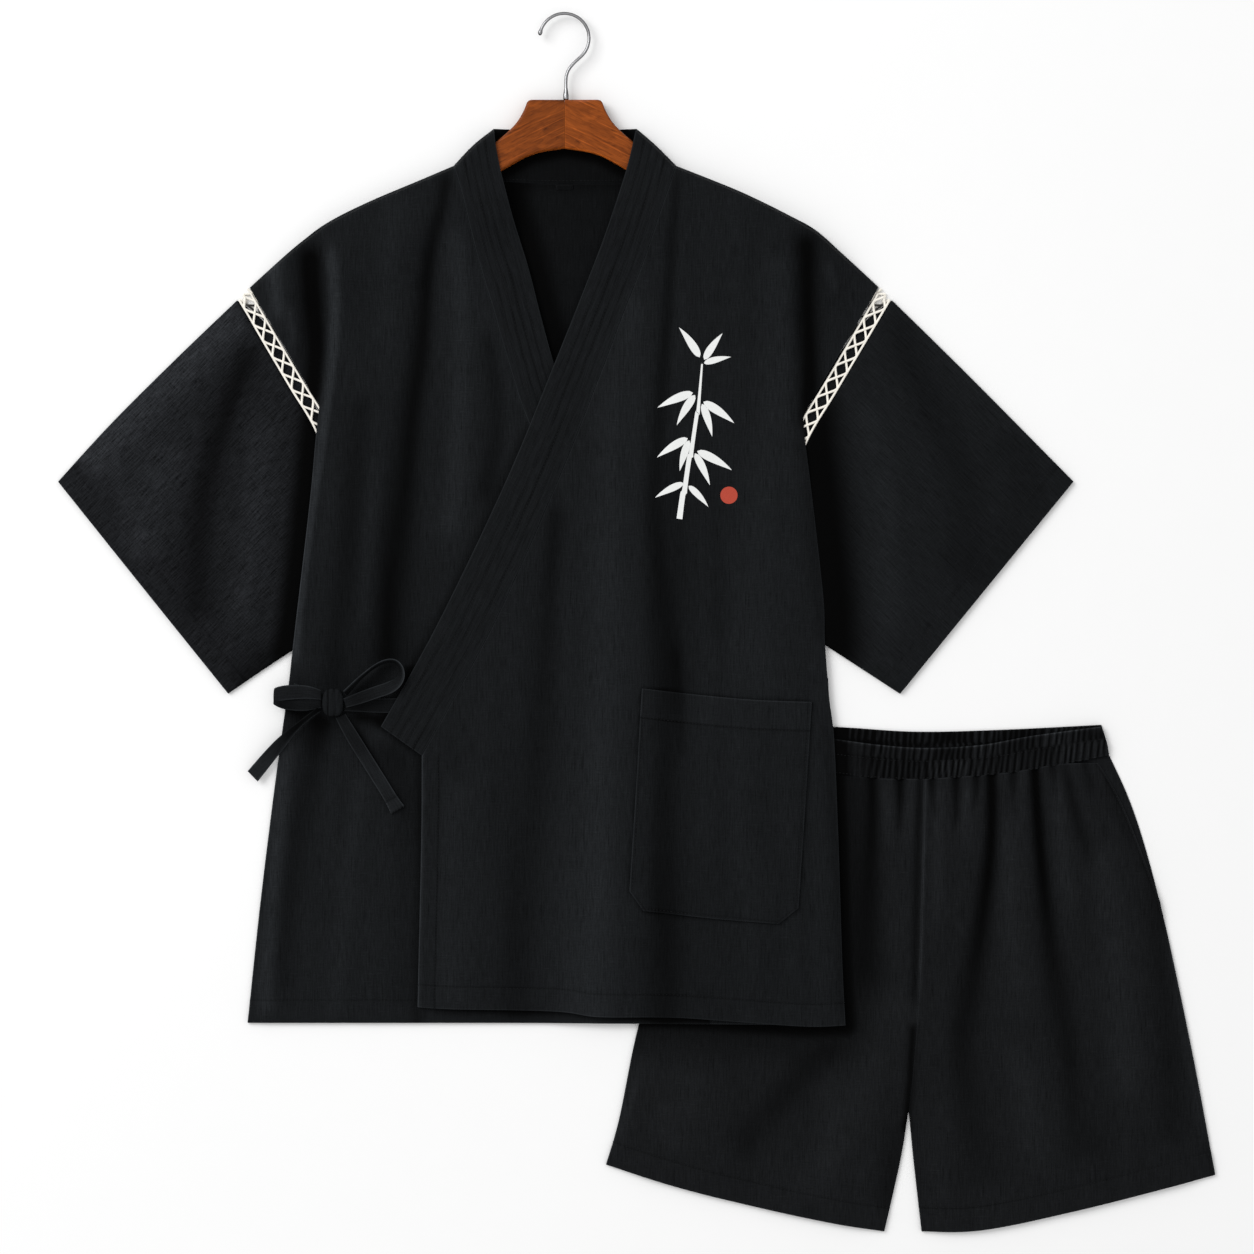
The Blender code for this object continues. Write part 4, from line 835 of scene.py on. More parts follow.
LACE_GAP = 16.8
left_hole = armhole_edge(ARMHOLE_BACK_LEFT, LACE_GAP)
right_hole = armhole_edge(ARMHOLE_BACK_RIGHT, -LACE_GAP)
left_corner, right_corner = (-323, -54), (178.5, -52)
back_legs = [
    (curve_through(np.vstack([[SHOULDER_LEFT[-1]], left_hole[1:]]), 3),
     curve_through(np.vstack([[SHOULDER_RIGHT[-1]], right_hole[1:]]), 3), stops(350, 9, EDGE_ROWS, (0.0,))),
    (curve_through([left_hole[-1], left_corner]), curve_through([right_hole[-1], right_corner]),
     stops(24, 9)),
    (curve_through([left_corner] + SIDE_LEFT[1:]), curve_through([right_corner] + SIDE_RIGHT[1:]),
     stops(330, 9, (0.0,), hem_rows(JACKET_HEM))),
]
back_top = joined([curve_through(table) for table in (SHOULDER_LEFT[::-1], NECK_SEAM, SHOULDER_RIGHT)])
plan = patch(back_top, curve_through(BACK_HEM), back_legs, stops(620, 8, EDGE_ROWS, EDGE_ROWS))
x, y = plan[..., 0], plan[..., 1]
# painted shade inside the neck, darkest beside the under collar and below the seam
beside_collar = ease(1.5 - distance_to(UNDER_FREE[:6], x, y) / 20)
below_seam = ease(1 - distance_to(NECK_SEAM, x, y) / 12)
neck_shade = (0.5 + 0.45 * beside_collar + 0.2 * below_seam) * ease((y - 120) / 60)
panel("back_cloth", plan, back_under(x, y), np.minimum(neck_shade, 0.95), styles=HEMMED)

over_seam, under_seam = curve_through(OVER_SEAM), curve_through(UNDER_SEAM)
left_side, right_side = curve_through(FOLD_LEFT + SIDE_LEFT[1:]), curve_through(FOLD_RIGHT + SIDE_RIGHT[1:])
FINE = 4.2
over_legs = [
    (stretch(over_seam, 0, 0.22), curve_through(LACE_LINE_RIGHT), stops(139, FINE, EDGE_ROWS)),
    (stretch(over_seam, 0.22, 1), stretch(right_side, 0, 0.56), stops(400, FINE)),
    (curve_through(OVER_EDGE), stretch(right_side, 0.56, 1), stops(240, FINE, (0.0,), hem_rows(JACKET_HEM))),
]
FACING = 15.8
facing_rows = EDGE_ROWS + (FACING - 1.2, FACING - 0.5, FACING, FACING + 0.5, FACING + 1.2)
plan = patch(curve_through(SHOULDER_RIGHT), curve_through(OVER_HEM), over_legs,
             stops(398, FINE, facing_rows, EDGE_ROWS))
x, y = plan[..., 0], plan[..., 1]
under, shade = over_front_under(x, y)
left_gap = margins(plan)[0]
on_facing = ease((-122 - y) / 3)
facing_groove = groove_at(left_gap, FACING) * on_facing
facing = 0.4 * doubled(left_gap, FACING) * on_facing - 0.35 * facing_groove
# painted shadow round the pocket's edges, and a painted highlight along the over front's folded edge
painted_pocket_shadow = near([POCKET_TOP, POCKET_BOTTOM, *POCKET_SIDES, *POCKET_CORNERS], x, y, 1.8)
shade = shade + 0.4 * painted_pocket_shadow - 0.8 * near([OVER_EDGE], x, y, 3.0)
# painted shade in the facing's stitch groove
points, gaps = panel("over_front_cloth", plan, under, shade, styles=HEMMED, extra=facing,
                     extra_shade=0.5 * facing_groove)
below_collar = int(np.argmin(np.abs(y[:, 0] + 124)))
STITCH_PATHS["jacket"] += [
    path_by_row(points, gaps[3], JACKET_HEM),
    path_by_column(points, gaps[0], FACING, below_collar),
]

under_legs = [
    (curve_through(LACE_LINE_LEFT), stretch(under_seam, 0, 0.22), stops(128, FINE, EDGE_ROWS)),
    (stretch(left_side, 0, 0.56), stretch(under_seam, 0.22, 1), stops(400, FINE)),
    (stretch(left_side, 0.56, 1), curve_through(UNDER_EDGE), stops(240, FINE, (0.0,), hem_rows(JACKET_HEM))),
]
plan = patch(curve_through(SHOULDER_LEFT[::-1]), curve_through(UNDER_HEM), under_legs,
             stops(430, FINE, EDGE_ROWS, EDGE_ROWS))
x, y = plan[..., 0], plan[..., 1]
under, shade = under_front_under(x, y)
# painted shadow: beside the over front's edge, below its hem, and round the bow from BOW_SHADOWS
overlap_shade = 0.45 * ease(1 - np.abs(x - x_at(FRONT_EDGE, y)) / 11) * ease((190 - y) / 30)
overlap_shade = np.maximum(overlap_shade, 0.8 * near([OVER_HEM], x, y, 6.5) * ease((x + 205) / 30))
bow_shadow = np.clip(creases(BOW_SHADOWS, x, y)[1], 0, 0.95)
points, gaps = panel("under_front_cloth", plan, under, shade * (1 - bow_shadow) + overlap_shade + bow_shadow,
                     styles=HEMMED)
shown_end = int(np.argmin(np.abs(plan[-1, :, 0] + 190)))
STITCH_PATHS["jacket"].append(path_by_row(points, gaps[3], JACKET_HEM, 0, shown_end))

# %% [markdown]
# The collar is a folded band, stiff with layers, and sewn down with long rows of stitches. Each row
# draws the cloth in, so the band is slightly ribbed along its length. A bump in the material could show
# the ribs, but they catch the light from the side, so here they are part of the panel's own surface.

# %% The collar
BAND_STITCHES = (11.0, 19.5, 28.0, 36.5)
COLLAR_TONE = 0.05


def collar(name, free, seam, ends, under_of, free_first):
    """A stretch of collar between its free edge and its seam, with rows of stitches."""
    free, seam = curve_through(free), curve_through(seam)
    sides = (free, seam) if free_first else (seam, free)
    plan = patch(curve_through(ends[0]), curve_through(ends[1]),
                 [sides + (stops(free.length, 4.0, EDGE_ROWS, EDGE_ROWS),)],
                 stops(48, 1.3, EDGE_ROWS, EDGE_ROWS))
    x, y = plan[..., 0], plan[..., 1]
    left, right, from_top, from_end = margins(plan)
    from_free = left if free_first else right
    under, shade = under_of(x, y)
    # painted shade in the grooves of the collar's rows of stitches
    ribs, rib_shade = np.zeros(x.shape), np.zeros(x.shape)
    for number, row in enumerate(BAND_STITCHES):
        groove = np.exp(-((from_free - row) / 1.1) ** 2)
        strength = 0.75 + 0.5 * soft_noise(from_top, from_top * 0, 60, 9, 30 + number)
        ribs -= 0.34 * groove * strength
        rib_shade = np.maximum(rib_shade, 0.56 * groove * strength)
    ribs += (0.14 * soft_noise(from_free, from_top, 4, 7, 40)
             + 0.2 * soft_noise(from_free, from_top, 9, 26, 41))
    # painted shade of the creases, weaker on the collar, and the whole collar made a little darker
    tone = np.clip(shade * 0.3, -0.15, 0.15) + COLLAR_TONE
    lay, gaps = panel(name, plan, under, tone, COLLAR, extra=ribs, extra_shade=rib_shade)
    lay_grain(PIECES[name].data, np.vstack([np.stack([from_free, -from_top], -1).reshape(-1, 2)] * 2))
    for row in BAND_STITCHES:
        STITCH_PATHS["jacket"].append(path_by_column(lay, from_free, row))


collar("over_collar_cloth", OVER_FREE, OVER_SEAM, (NECK_FOLD_RIGHT, [OVER_FREE[-1], OVER_SEAM[-1]]),
       over_front_under, True)
collar("under_collar_cloth", UNDER_FREE, UNDER_SEAM, (NECK_FOLD_LEFT[::-1], [UNDER_SEAM[-1], UNDER_FREE[-1]]),
       under_front_under, False)
plan = patch(curve_through(COLLAR_TOP), curve_through([(x, y + 0.9) for x, y in NECK_SEAM]),
             [(curve_through(NECK_FOLD_LEFT), curve_through(NECK_FOLD_RIGHT),
               stops(50, 2.5, EDGE_ROWS, EDGE_ROWS))],
             stops(190, 4, EDGE_ROWS, EDGE_ROWS))
x, y = plan[..., 0], plan[..., 1]
# painted shade: the back collar is dark, darkest beside the hanger that shades it
back_collar_shade = 0.62 + 0.35 * ease(1.3 - distance_to(HANGER_OUTLINE, x, y) / 9)
points, gaps = panel("back_collar_cloth", plan, 0.0 * x, back_collar_shade)
STITCH_PATHS["jacket"].append(path_by_row(points, gaps[3], STITCH_IN))

# %% [markdown]
# A sleeve is a tube that lies flat, so its two layers meet in a soft fold at the top and bottom. Two flat
# panels would be simpler, but a gap would show where the cloth goes round. So rings run from the cuff to
# the armhole, and the wall is made by moving each point inwards along the surface's own direction.

# %% The sleeves
SLEEVE_FLAT = 3.4  # both layers and the air between them, at the folds
SLEEVE_FOLD = 2.4  # width over which a fold goes round
SLEEVE_WALL = 1.0


def turned(plan, degrees):
    """A sleeve's grain map: its plan, turned so that the warp runs along v."""
    a = math.radians(degrees)
    x, y = plan[..., 0], plan[..., 1]
    return np.stack([x * math.cos(a) + y * math.sin(a), y * math.cos(a) - x * math.sin(a)], -1)


def sleeve_rise(x, y):
    """The sleeve's inner end rises with the jacket's back where that passes over the shorts."""
    return back_under(x, y) * ease((225 - x) / 55)


def wall_of_rings(name, rings, thickness, material, grain, edge, shade, outwards):
    """A tube from rings of points: its outer wall, an inner wall, and the two rims."""
    count, around = rings.shape[:2]
    along = np.gradient(rings, axis=0)
    about = np.roll(rings, -1, 1) - np.roll(rings, 1, 1)
    normal = np.cross(along, about) * outwards
    normal /= np.linalg.norm(normal, axis=2)[..., None]
    inner = rings - normal * thickness
    outer_faces = grid_faces(count, around, 0, True)
    inner_faces = grid_faces(count, around, count * around, True)[:, ::-1]
    first, last = np.arange(around), np.arange(around) + (count - 1) * around
    rims = []
    for rim, flip in ((first, False), (last, True)):
        after = np.roll(rim, -1)
        faces = np.stack([rim, after, after + count * around, rim + count * around], -1)
        rims.append(faces[:, ::-1] if flip else faces)
    faces = np.vstack([outer_faces, inner_faces] + rims)
    if outwards > 0:
        faces = faces[:, ::-1]
    points = np.vstack([rings.reshape(-1, 3), inner.reshape(-1, 3)])
    return make_mesh(name, points, faces, material, np.vstack([grain.reshape(-1, 2)] * 2),
                     np.tile(edge.ravel(), 2), np.tile(shade.ravel(), 2))


def sleeve(name, cuff, holes, edges, table, body_line, heading, shadow, material):
    """A flat tube of cloth from its cuff to its armhole. heading turns its grain to the sleeve's own run."""
    fold_rows = (0.0, 0.3, 0.8, 1.5, 2.4, 4.0, 7.0)
    columns = stops(290, 4.6, fold_rows, fold_rows)
    cuff_rows = EDGE_ROWS[:4] + (CUFF_HEM - 2, CUFF_HEM - 0.7, CUFF_HEM, CUFF_HEM + 0.7, CUFF_HEM + 2)
    shares = stops(265, 4.6, cuff_rows, (0.0,))
    sides = [(curve_through(edges[0]), curve_through(edges[1]), shares)]
    front, back = (patch(curve_through(cuff), curve_through(hole), sides, columns) for hole in holes)
    x, y = front[..., 0], front[..., 1]
    left, right, from_cuff, from_hole = margins(front)
    from_fold = np.minimum(left, right)
    share = shares[:, None]
    puff = 2.2 * ease((1 - share) / 0.3) * (0.3 + 0.7 * ease(share / 0.2))
    puff = puff * np.sin(np.pi * columns)[None] ** 0.7
    crease, shade = creases(table, x, y)
    free = ease(from_cuff / 40) * ease(from_fold / 24)
    clear = ease((distance_to(body_line, x, y) - 12) / 40)
    full = SLEEVE_FLAT + puff + (0.45 * soft_noise(x, y, 36, 36, 13) + crease) * free * clear * 0.9
    full = np.maximum(full, SLEEVE_FLAT - 0.4)
    round_over = np.sqrt(np.clip(1 - (1 - np.clip(from_fold / SLEEVE_FOLD, 0, 1)) ** 2, 0, 1))
    groove = groove_at(from_cuff, CUFF_HEM)
    rolled = np.clip(1 - from_cuff / 1.5, 0, 1) ** 2
    detail = 0.4 * doubled(from_cuff, CUFF_HEM) - 0.4 * groove - 0.5 * rolled
    top = full * (0.5 + 0.5 * round_over) + detail * round_over + sleeve_rise(x, y)
    bx, by = back[..., 0], back[..., 1]
    bottom = SLEEVE_FLAT * 0.5 * (1 - round_over) + sleeve_rise(bx, by)
    front_points, back_points = np.dstack([front, top]), np.dstack([back, bottom])
    rings = np.concatenate([front_points, back_points[:, -2:0:-1]], 1)
    # painted shadow that the body casts on the sleeve beside it, and painted shade in the cuff's groove
    body_shade = DARKEST * ease(1.5 - distance_to(body_line, x, y) / shadow)
    shade = np.clip(shade * (1 - body_shade) + body_shade + 0.3 * groove, LIGHTEST, DARKEST)
    shade = np.concatenate([shade, 0 * shade[:, -2:0:-1]], 1)
    edge = np.concatenate([np.minimum(from_cuff, from_fold + 0.4), from_cuff[:, -2:0:-1] + 1], 1)
    grain = turned(rings[..., :2], heading)
    thing = wall_of_rings(name, rings, SLEEVE_WALL, material, grain, edge, shade, math.copysign(1, heading))
    layer_area = (left[:, -1] * np.gradient(from_cuff[:, len(columns) // 2])).sum()
    state_size(thing, 2 * left[:, -1].max(), from_hole.max(), 2 * layer_area)
    STITCH_PATHS["jacket"].append(path_by_row(front_points, from_cuff, CUFF_HEM))
    print(f"{name}: {len(thing.data.polygons)} faces")


sleeve("left_sleeve_cloth", CUFF_LEFT, (ARMHOLE_FRONT_LEFT, ARMHOLE_BACK_LEFT),
       (SLEEVE_TOP_LEFT, UNDERARM_LEFT), LEFT_SLEEVE_FOLDS, FOLD_LEFT, -45, 18.0, PAINTED_LIT_CLOTH)
sleeve("right_sleeve_cloth", CUFF_RIGHT, (ARMHOLE_FRONT_RIGHT, ARMHOLE_BACK_RIGHT),
       (SLEEVE_TOP_RIGHT, UNDERARM_RIGHT), RIGHT_SLEEVE_FOLDS, FOLD_RIGHT, 45, 33.0, BLACK_CLOTH)

# %% [markdown]
# The patch pocket is a square of cloth on the over front. Its top edge has a hem, and its other edges are
# folded under and stitched close to the fold. It could be drawn as lines on the front, but then it would
# throw no shadow, so it is a panel whose underside follows the front's own top. The loop at the neck is
# the smallest panel, bowed up a little in its middle.

# %% The pocket and the neck loop
pocket_hem_rows = tuple(POCKET_HEM + step for step in (-3, -1.7, -0.7, 0, 0.7, 1.7, 3))
corners = [tuple(curve_through(side) for side in pair) for pair in (POCKET_SIDES, POCKET_CORNERS)]
plan = patch(curve_through(POCKET_TOP), curve_through(POCKET_BOTTOM),
             [corners[0] + (stops(190, 4, EDGE_ROWS + pocket_hem_rows),),
              corners[1] + (stops(24, 4, (0.0,), EDGE_ROWS),)],
             stops(158, 4, EDGE_ROWS, EDGE_ROWS))
x, y = plan[..., 0], plan[..., 1]
under, shade = over_front_under(x, y)
from_top = margins(plan)[2]
groove, hem_share = groove_at(from_top, POCKET_HEM), doubled(from_top, POCKET_HEM)
# painted shade in the hem's stitch groove, and a painted highlight on the raised hem band
lay, gaps = panel("pocket_cloth", plan, under + CLOTH + LAYER + 0.6, shade,
                  styles=("stitched", "stitched", "fold", "stitched"),
                  extra=0.4 * hem_share - 0.35 * groove, extra_shade=0.45 * groove - 0.14 * hem_share)
pocket_rim = np.vstack([path_by_column(lay, gaps[0], STITCH_IN), path_by_row(lay, gaps[3], STITCH_IN, 3, -3),
                        path_by_column(lay, gaps[1], STITCH_IN)[::-1]])
STITCH_PATHS["jacket"] += [pocket_rim, path_by_row(lay, gaps[2], POCKET_HEM, 4, -4)]

NECK_LOOP_ENDS, NECK_LOOP_LOW, NECK_LOOP_WIDTH = (-75, -59), 402.7, 4.6
loop_levels = (NECK_LOOP_LOW + NECK_LOOP_WIDTH, NECK_LOOP_LOW)
loop_edge = (0.0, 0.4)
top, bottom = (curve_through([(x, level) for x in NECK_LOOP_ENDS]) for level in loop_levels)
sides = tuple(curve_through([(x, level) for level in loop_levels]) for x in NECK_LOOP_ENDS)
plan = patch(top, bottom, [sides + (stops(NECK_LOOP_WIDTH, 0.6, loop_edge, loop_edge),)],
             stops(16, 1.0, loop_edge, loop_edge))
x, y = plan[..., 0], plan[..., 1]
# painted shade: the loop lies in the shade inside the neck
panel("neck_loop_cloth", plan, 0 * x + CLOTH + 0.25, 0.62 + 0 * x, 1.0,
      extra=0.25 * np.sin((y - NECK_LOOP_LOW) / NECK_LOOP_WIDTH * math.pi))

# %% [markdown]
# The shorts are two fronts on two backs, under an elastic waistband. A leg could be one closed tube, but it
# lies flat and never opens, so each panel is made by itself, as it was cut. The right front stops at the
# pocket's mouth, where the back shows.

# %% The shorts


def shifted(table, dx, dy):
    """A table's points, moved."""
    return [(x + dx, y + dy) for x, y in table]


waist = shifted(WAIST_BOTTOM, 0, 0.5)
centre_left = curve_through(shifted(SHORTS_CENTRE, -0.05, 0.5))
centre_right = curve_through(shifted(SHORTS_CENTRE, 0.05, 0.5))
inseam_left = curve_through([(SHORTS_CENTRE[-1][0] - 0.3, -455.4)] + INSEAM_LEFT[1:])
inseam_right = curve_through([(SHORTS_CENTRE[-1][0] + 0.3, -455.4)] + INSEAM_RIGHT[1:])
outer_left = curve_through(shifted(SHORTS_LEFT, 0, 0.5))
outer_right = curve_through(shifted(SHORTS_RIGHT, 0, 0.5))
mouth = curve_through(shifted(POCKET_MOUTH, 0, 0.5))
right_below = curve_through(shifted(SHORTS_RIGHT[3:], 0, -0.6))
hem_left, hem_right = curve_through(HEM_LEFT), curve_through(HEM_RIGHT)
CROTCH_LEVEL = 0.72  # share of the outer seam that is above the crotch
CROTCH_CREASE = [(257, -378), (254.5, -425), (251, -470)]
fine_columns = stops(268, 3.2, EDGE_ROWS, EDGE_ROWS)


def leg_panel(name, top, hem, legs, columns, under_of, styles):
    """One panel of the shorts."""
    plan = patch(top, hem, legs, columns)
    x, y = plan[..., 0], plan[..., 1]
    under, shade = under_of(x, y)
    # painted shadow of the jacket on the shorts, and painted shade along the crotch crease
    off_jacket = distance_to(JACKET_CORNER, x, y)
    wide_shade = 0.42 + 0.2 * ease((y + 365) / 30)
    jacket_shade = np.maximum(ease(1.25 - off_jacket / 17), wide_shade * ease(1.25 - off_jacket / 42))
    crotch = 0.9 * near([CROTCH_CREASE], x, y, 4.5)
    return panel(name, plan, under, shade * (1 - jacket_shade) + jacket_shade + crotch, styles=styles,
                 depth=LEG_HEM, material=SHORTS_CLOTH)


def leg_rows(step):
    """Rows of a leg's panel: from the waist to the crotch, and from there to the hem."""
    return stops(310, step, EDGE_ROWS), stops(115, step, (0.0,), hem_rows(LEG_HEM))


def left_leg(step):
    """The sides of the left leg's panels, with rows about a step apart."""
    above, below = leg_rows(step)
    return [(stretch(outer_left, 0, CROTCH_LEVEL), centre_left, above),
            (stretch(outer_left, CROTCH_LEVEL, 1), inseam_left, below)]


points, gaps = leg_panel("shorts_left_front_cloth", curve_through(waist[:5]), hem_left, left_leg(3.8),
                         fine_columns, shorts_front_under, HEMMED)
STITCH_PATHS["shorts"].append(path_by_row(points, gaps[3], LEG_HEM))
points, gaps = leg_panel(
    "shorts_right_front_cloth", curve_through(waist[4:-1] + [POCKET_MOUTH[0]]), hem_right,
    [(stretch(centre_right, 0, 0.4), mouth, stops(130, 3.8, EDGE_ROWS)),
     (stretch(centre_right, 0.4, 1), stretch(right_below, 0, 0.6), stops(190, 3.8)),
     (inseam_right, stretch(right_below, 0.6, 1), leg_rows(3.8)[1])],
    fine_columns, shorts_front_under, ("fold", "stitched", "fold", "hem"))
STITCH_PATHS["shorts"] += [path_by_row(points, gaps[3], LEG_HEM), path_by_column(points, gaps[1], STITCH_IN)]


def flat_back(x, y):
    """The backs carry no creases of their own."""
    return shorts_back_under(x, y), 0.0 * x


leg_panel("shorts_left_back_cloth", curve_through(waist[:5]), hem_left, left_leg(12),
          stops(268, 10, EDGE_ROWS, EDGE_ROWS), flat_back, HEMMED)
above, below = leg_rows(8)
leg_panel("shorts_right_back_cloth", curve_through(waist[4:]), hem_right,
          [(centre_right, stretch(outer_right, 0, CROTCH_LEVEL), above),
           (inseam_right, stretch(outer_right, CROTCH_LEVEL, 1), below)],
          stops(268, 6, EDGE_ROWS, EDGE_ROWS), flat_back, HEMMED)

# %% [markdown]
# The waistband holds a wide elastic, which draws the cloth into many narrow ridges. They could be modelled
# one by one, but no two are alike, so two waves whose spacing wanders make them. A row of stitches through
# the middle of the band splits them, and those above the row and below it don't line up.

# %% The waistband
RIDGE_PITCH, SECOND_PITCH = 5.9, 4.1
FRONT_ROW, BACK_ROW = 13.0, 12.0  # from the band's top to the row of stitches in its middle
BAND_SIDE = (437.5, -111)


def ruffles(along, down, seed):
    """Ridges drawn up by elastic: narrow, uneven, and different in each half of the band."""
    wander = 2.4 * soft_noise(along, down, 21, 16, seed) + 1.3 * soft_noise(along, down, 8, 9, seed + 1)
    ridge = 0.5 + 0.5 * np.cos((along + wander) / RIDGE_PITCH * 2 * math.pi)
    second = 0.5 + 0.5 * np.cos((along - wander * 1.4) / SECOND_PITCH * 2 * math.pi + 1)
    strength = 0.62 + 0.38 * soft_noise(along, down, 17, 30, seed + 2)
    return (0.72 * ridge ** 1.3 + 0.28 * second) * strength


def band(name, top, bottom, sides, under_of, fullness, rows, half, base_shade, rim):
    """A length of waistband. half is the distance from its top to the row of stitches in its middle. The last
    argument sets a painted highlight along its top edge.
    """
    plan = patch(curve_through(top), curve_through(bottom), [sides + (rows,)],
                 stops(385, 0.95, (0.0, 0.5), (0.0, 0.5)))
    x, y = plan[..., 0], plan[..., 1]
    left, right, from_top, from_bottom = margins(plan)
    upper = ease((half - from_top) / 2.5)
    ridge = upper * ruffles(left, 0.4 * from_top, 51) + (1 - upper) * ruffles(left, 0.4 * from_top, 57)
    held = np.exp(-((from_top - half) / 1.6) ** 2) + 0.7 * np.exp(-(from_bottom / 2.2) ** 2)
    smooth = 1 - 0.6 * np.exp(-((x - SHORTS_CENTRE[0][0]) / 9) ** 2)
    under, shown = under_of(x, y)
    rise = fullness * shown * ridge * np.clip(1 - 0.75 * held, 0.1, 1) * smooth
    # painted light and shade: the elastic's ridges lit, the hollows and the held rows dark
    shade = 2.3 * np.clip(0.43 - ridge, -0.42, 0.4) * shown + 0.15 * np.clip(held, 0, 1) + base_shade
    # painted highlight along the top edge
    shade -= rim * (0.35 + ridge) * np.exp(-(from_top / 1.5) ** 2)
    # painted darker towards the left, and lighter at the top of the right end
    shade += 0.24 * ease((420 - x) / 200) - 0.4 * rim * ease((x - 418) / 12) * ease(1 - from_top / 8)
    # the extra shade is the jacket's painted shadow
    return panel(name, plan, under, shade, BAND, material=SHORTS_CLOTH, extra=rise,
                 extra_shade=ease(1.25 - distance_to(JACKET_CORNER, x, y) / 17))


def front_band_under(x, y):
    """Underside of the front band, and how much of it is clear of the jacket."""
    shown = shorts_shown(x, y)
    return BAND + LAYER + 1.6 * shown * ease((445 - x) / 18), shown


def back_band_under(x, y):
    """Underside of the back band, of which only the top strip shows."""
    return 0.0 * x, ease((y + 119) / 6)


def band_sides(top):
    """The two short ends of a band."""
    return (curve_through([top[0], WAIST_BOTTOM[0]]), curve_through([top[-1], BAND_SIDE, WAIST_BOTTOM[-1]]))


band_rows = stops(28, 1.3, (0.0, 0.6, 1.4), (0.0, 0.6, 1.4))
points, gaps = band("waistband_front_cloth", WAIST_FRONT_TOP, WAIST_BOTTOM, band_sides(WAIST_FRONT_TOP),
                    front_band_under, 2.2, band_rows, FRONT_ROW, 0.02, 1.2)
STITCH_PATHS["shorts"] += [path_by_row(points, gaps[2], FRONT_ROW, 60), path_by_row(points, gaps[3], 1.4, 60)]
band("waistband_back_cloth", WAIST_BACK_TOP, WAIST_BOTTOM, band_sides(WAIST_BACK_TOP), back_band_under, 0.25,
     band_rows, BACK_ROW, 0.28, 0.2)

# %% [markdown]
# The ties are narrow strips folded in four, tied in a bow. A curve with a flat bevel would give a strip, but
# it twists where it likes. So a strip follows a table of centre points with a width, a heading and a tilt,
# and can turn on edge in a loop as cloth does. The knot is a rounded lump with two shallow folds across it.

# %% The ties and the bow
# Columns: x, y, height above the cloth, width, heading of the width in degrees, tilt out of the plan
TIE_FROM_COLLAR = [(-217, -77.5, 0.5, 14, 90, 0), (-240, -77.5, 0.7, 13.5, 90, 4),
                   (-256, -77, 1.6, 13, 90, 8), (-271.4, -76.5, 3.0, 12, 90, 0)]
TIE_FROM_SIDE = [(-320, -63, 0.5, 13, 78, 0), (-306, -68, 0.8, 13, 80, 0), (-292.6, -72, 2.2, 12, 84, 0)]
LOOP_LEFT = [(-292.6, -67.5, 7.0, 9, 92, 6), (-306, -65, 7.2, 12.5, 94, 10), (-326, -65.5, 7.2, 14, 92, 12),
             (-337, -69, 6.0, 13, 88, 0), (-326, -75, 4.4, 12, 84, -12), (-308, -77, 4.2, 11, 84, -12),
             (-292.6, -75, 4.2, 9, 90, 0)]
LOOP_RIGHT = [(-270.4, -66, 5.2, 8, 130, 50), (-254.4, -50, 6.4, 8, 132, 68),
              (-238.5, -38.5, 6.4, 8, 115, 68), (-226, -36, 6.2, 8.5, 88, 64),
              (-219, -42, 6.2, 9.5, 45, 58), (-219.5, -52, 6.8, 11, 0, 40),
              (-228, -60, 7.2, 12, -52, 22), (-243, -65.5, 7.6, 11.5, -68, 14),
              (-257, -70.5, 7.6, 11, -68, 12), (-270.6, -75, 7.4, 9, -72, 10)]
TAIL_LEFT = [(-294.9, -81, 4.6, 9, 125, 62), (-313, -95, 4.2, 10, 130, 62), (-332, -114, 3.0, 12, 134, 30),
             (-356.8, -143.3, 1.2, 13.5, 134, 0)]
TAIL_RIGHT = [(-275, -87, 2.8, 10, 20, 0), (-263, -108, 2.0, 12, 26, 0), (-243, -140, 1.4, 12, 28, 0),
              (-228.5, -163.5, 1.1, 12.2, 29, 0), (-222, -174.5, 1.1, 14.5, 31, 0)]
# Columns: share of the length and the painted shade there, below 0 a painted highlight
TIE_FROM_COLLAR_SHADES = [(0, 0.45), (0.5, 0.35), (1, 0.75)]
TIE_FROM_SIDE_SHADES = [(0, 0.1), (1, 0.5)]
LOOP_LEFT_SHADES = [(0, 0.2), (0.15, -0.05), (0.42, -0.2), (0.5, 0.1), (0.58, 0.85), (0.75, 0.7), (1, 0.5)]
LOOP_RIGHT_SHADES = [(0, 0.2), (0.2, 0.05), (0.5, 0.2), (0.62, 0.1), (0.75, -0.05), (1, 0.35)]
TAIL_LEFT_SHADES = [(0, 0.3), (0.35, 0.1), (0.6, -0.1), (0.8, -0.35), (1, -0.5)]
TAIL_RIGHT_SHADES = [(0, 0.35), (0.25, 0.12), (0.6, -0.05), (1, 0.0)]
KNOT_PLACE, KNOT_SIZE = (-282.0, -74.5), (20.0, 26.0, 8.4)
# Columns: place across the knot from -1 to 1, half width there, depth
KNOT_FOLDS = [(0.12, 0.09, 0.07), (-0.45, 0.08, 0.05)]


def tie_level(x, y):
    """Top of the under front, carried on level past its side edge."""
    x = np.maximum(x, x_at(SIDE_LEFT, y) + 45)
    return under_front_under(x, y)[0] + CLOTH


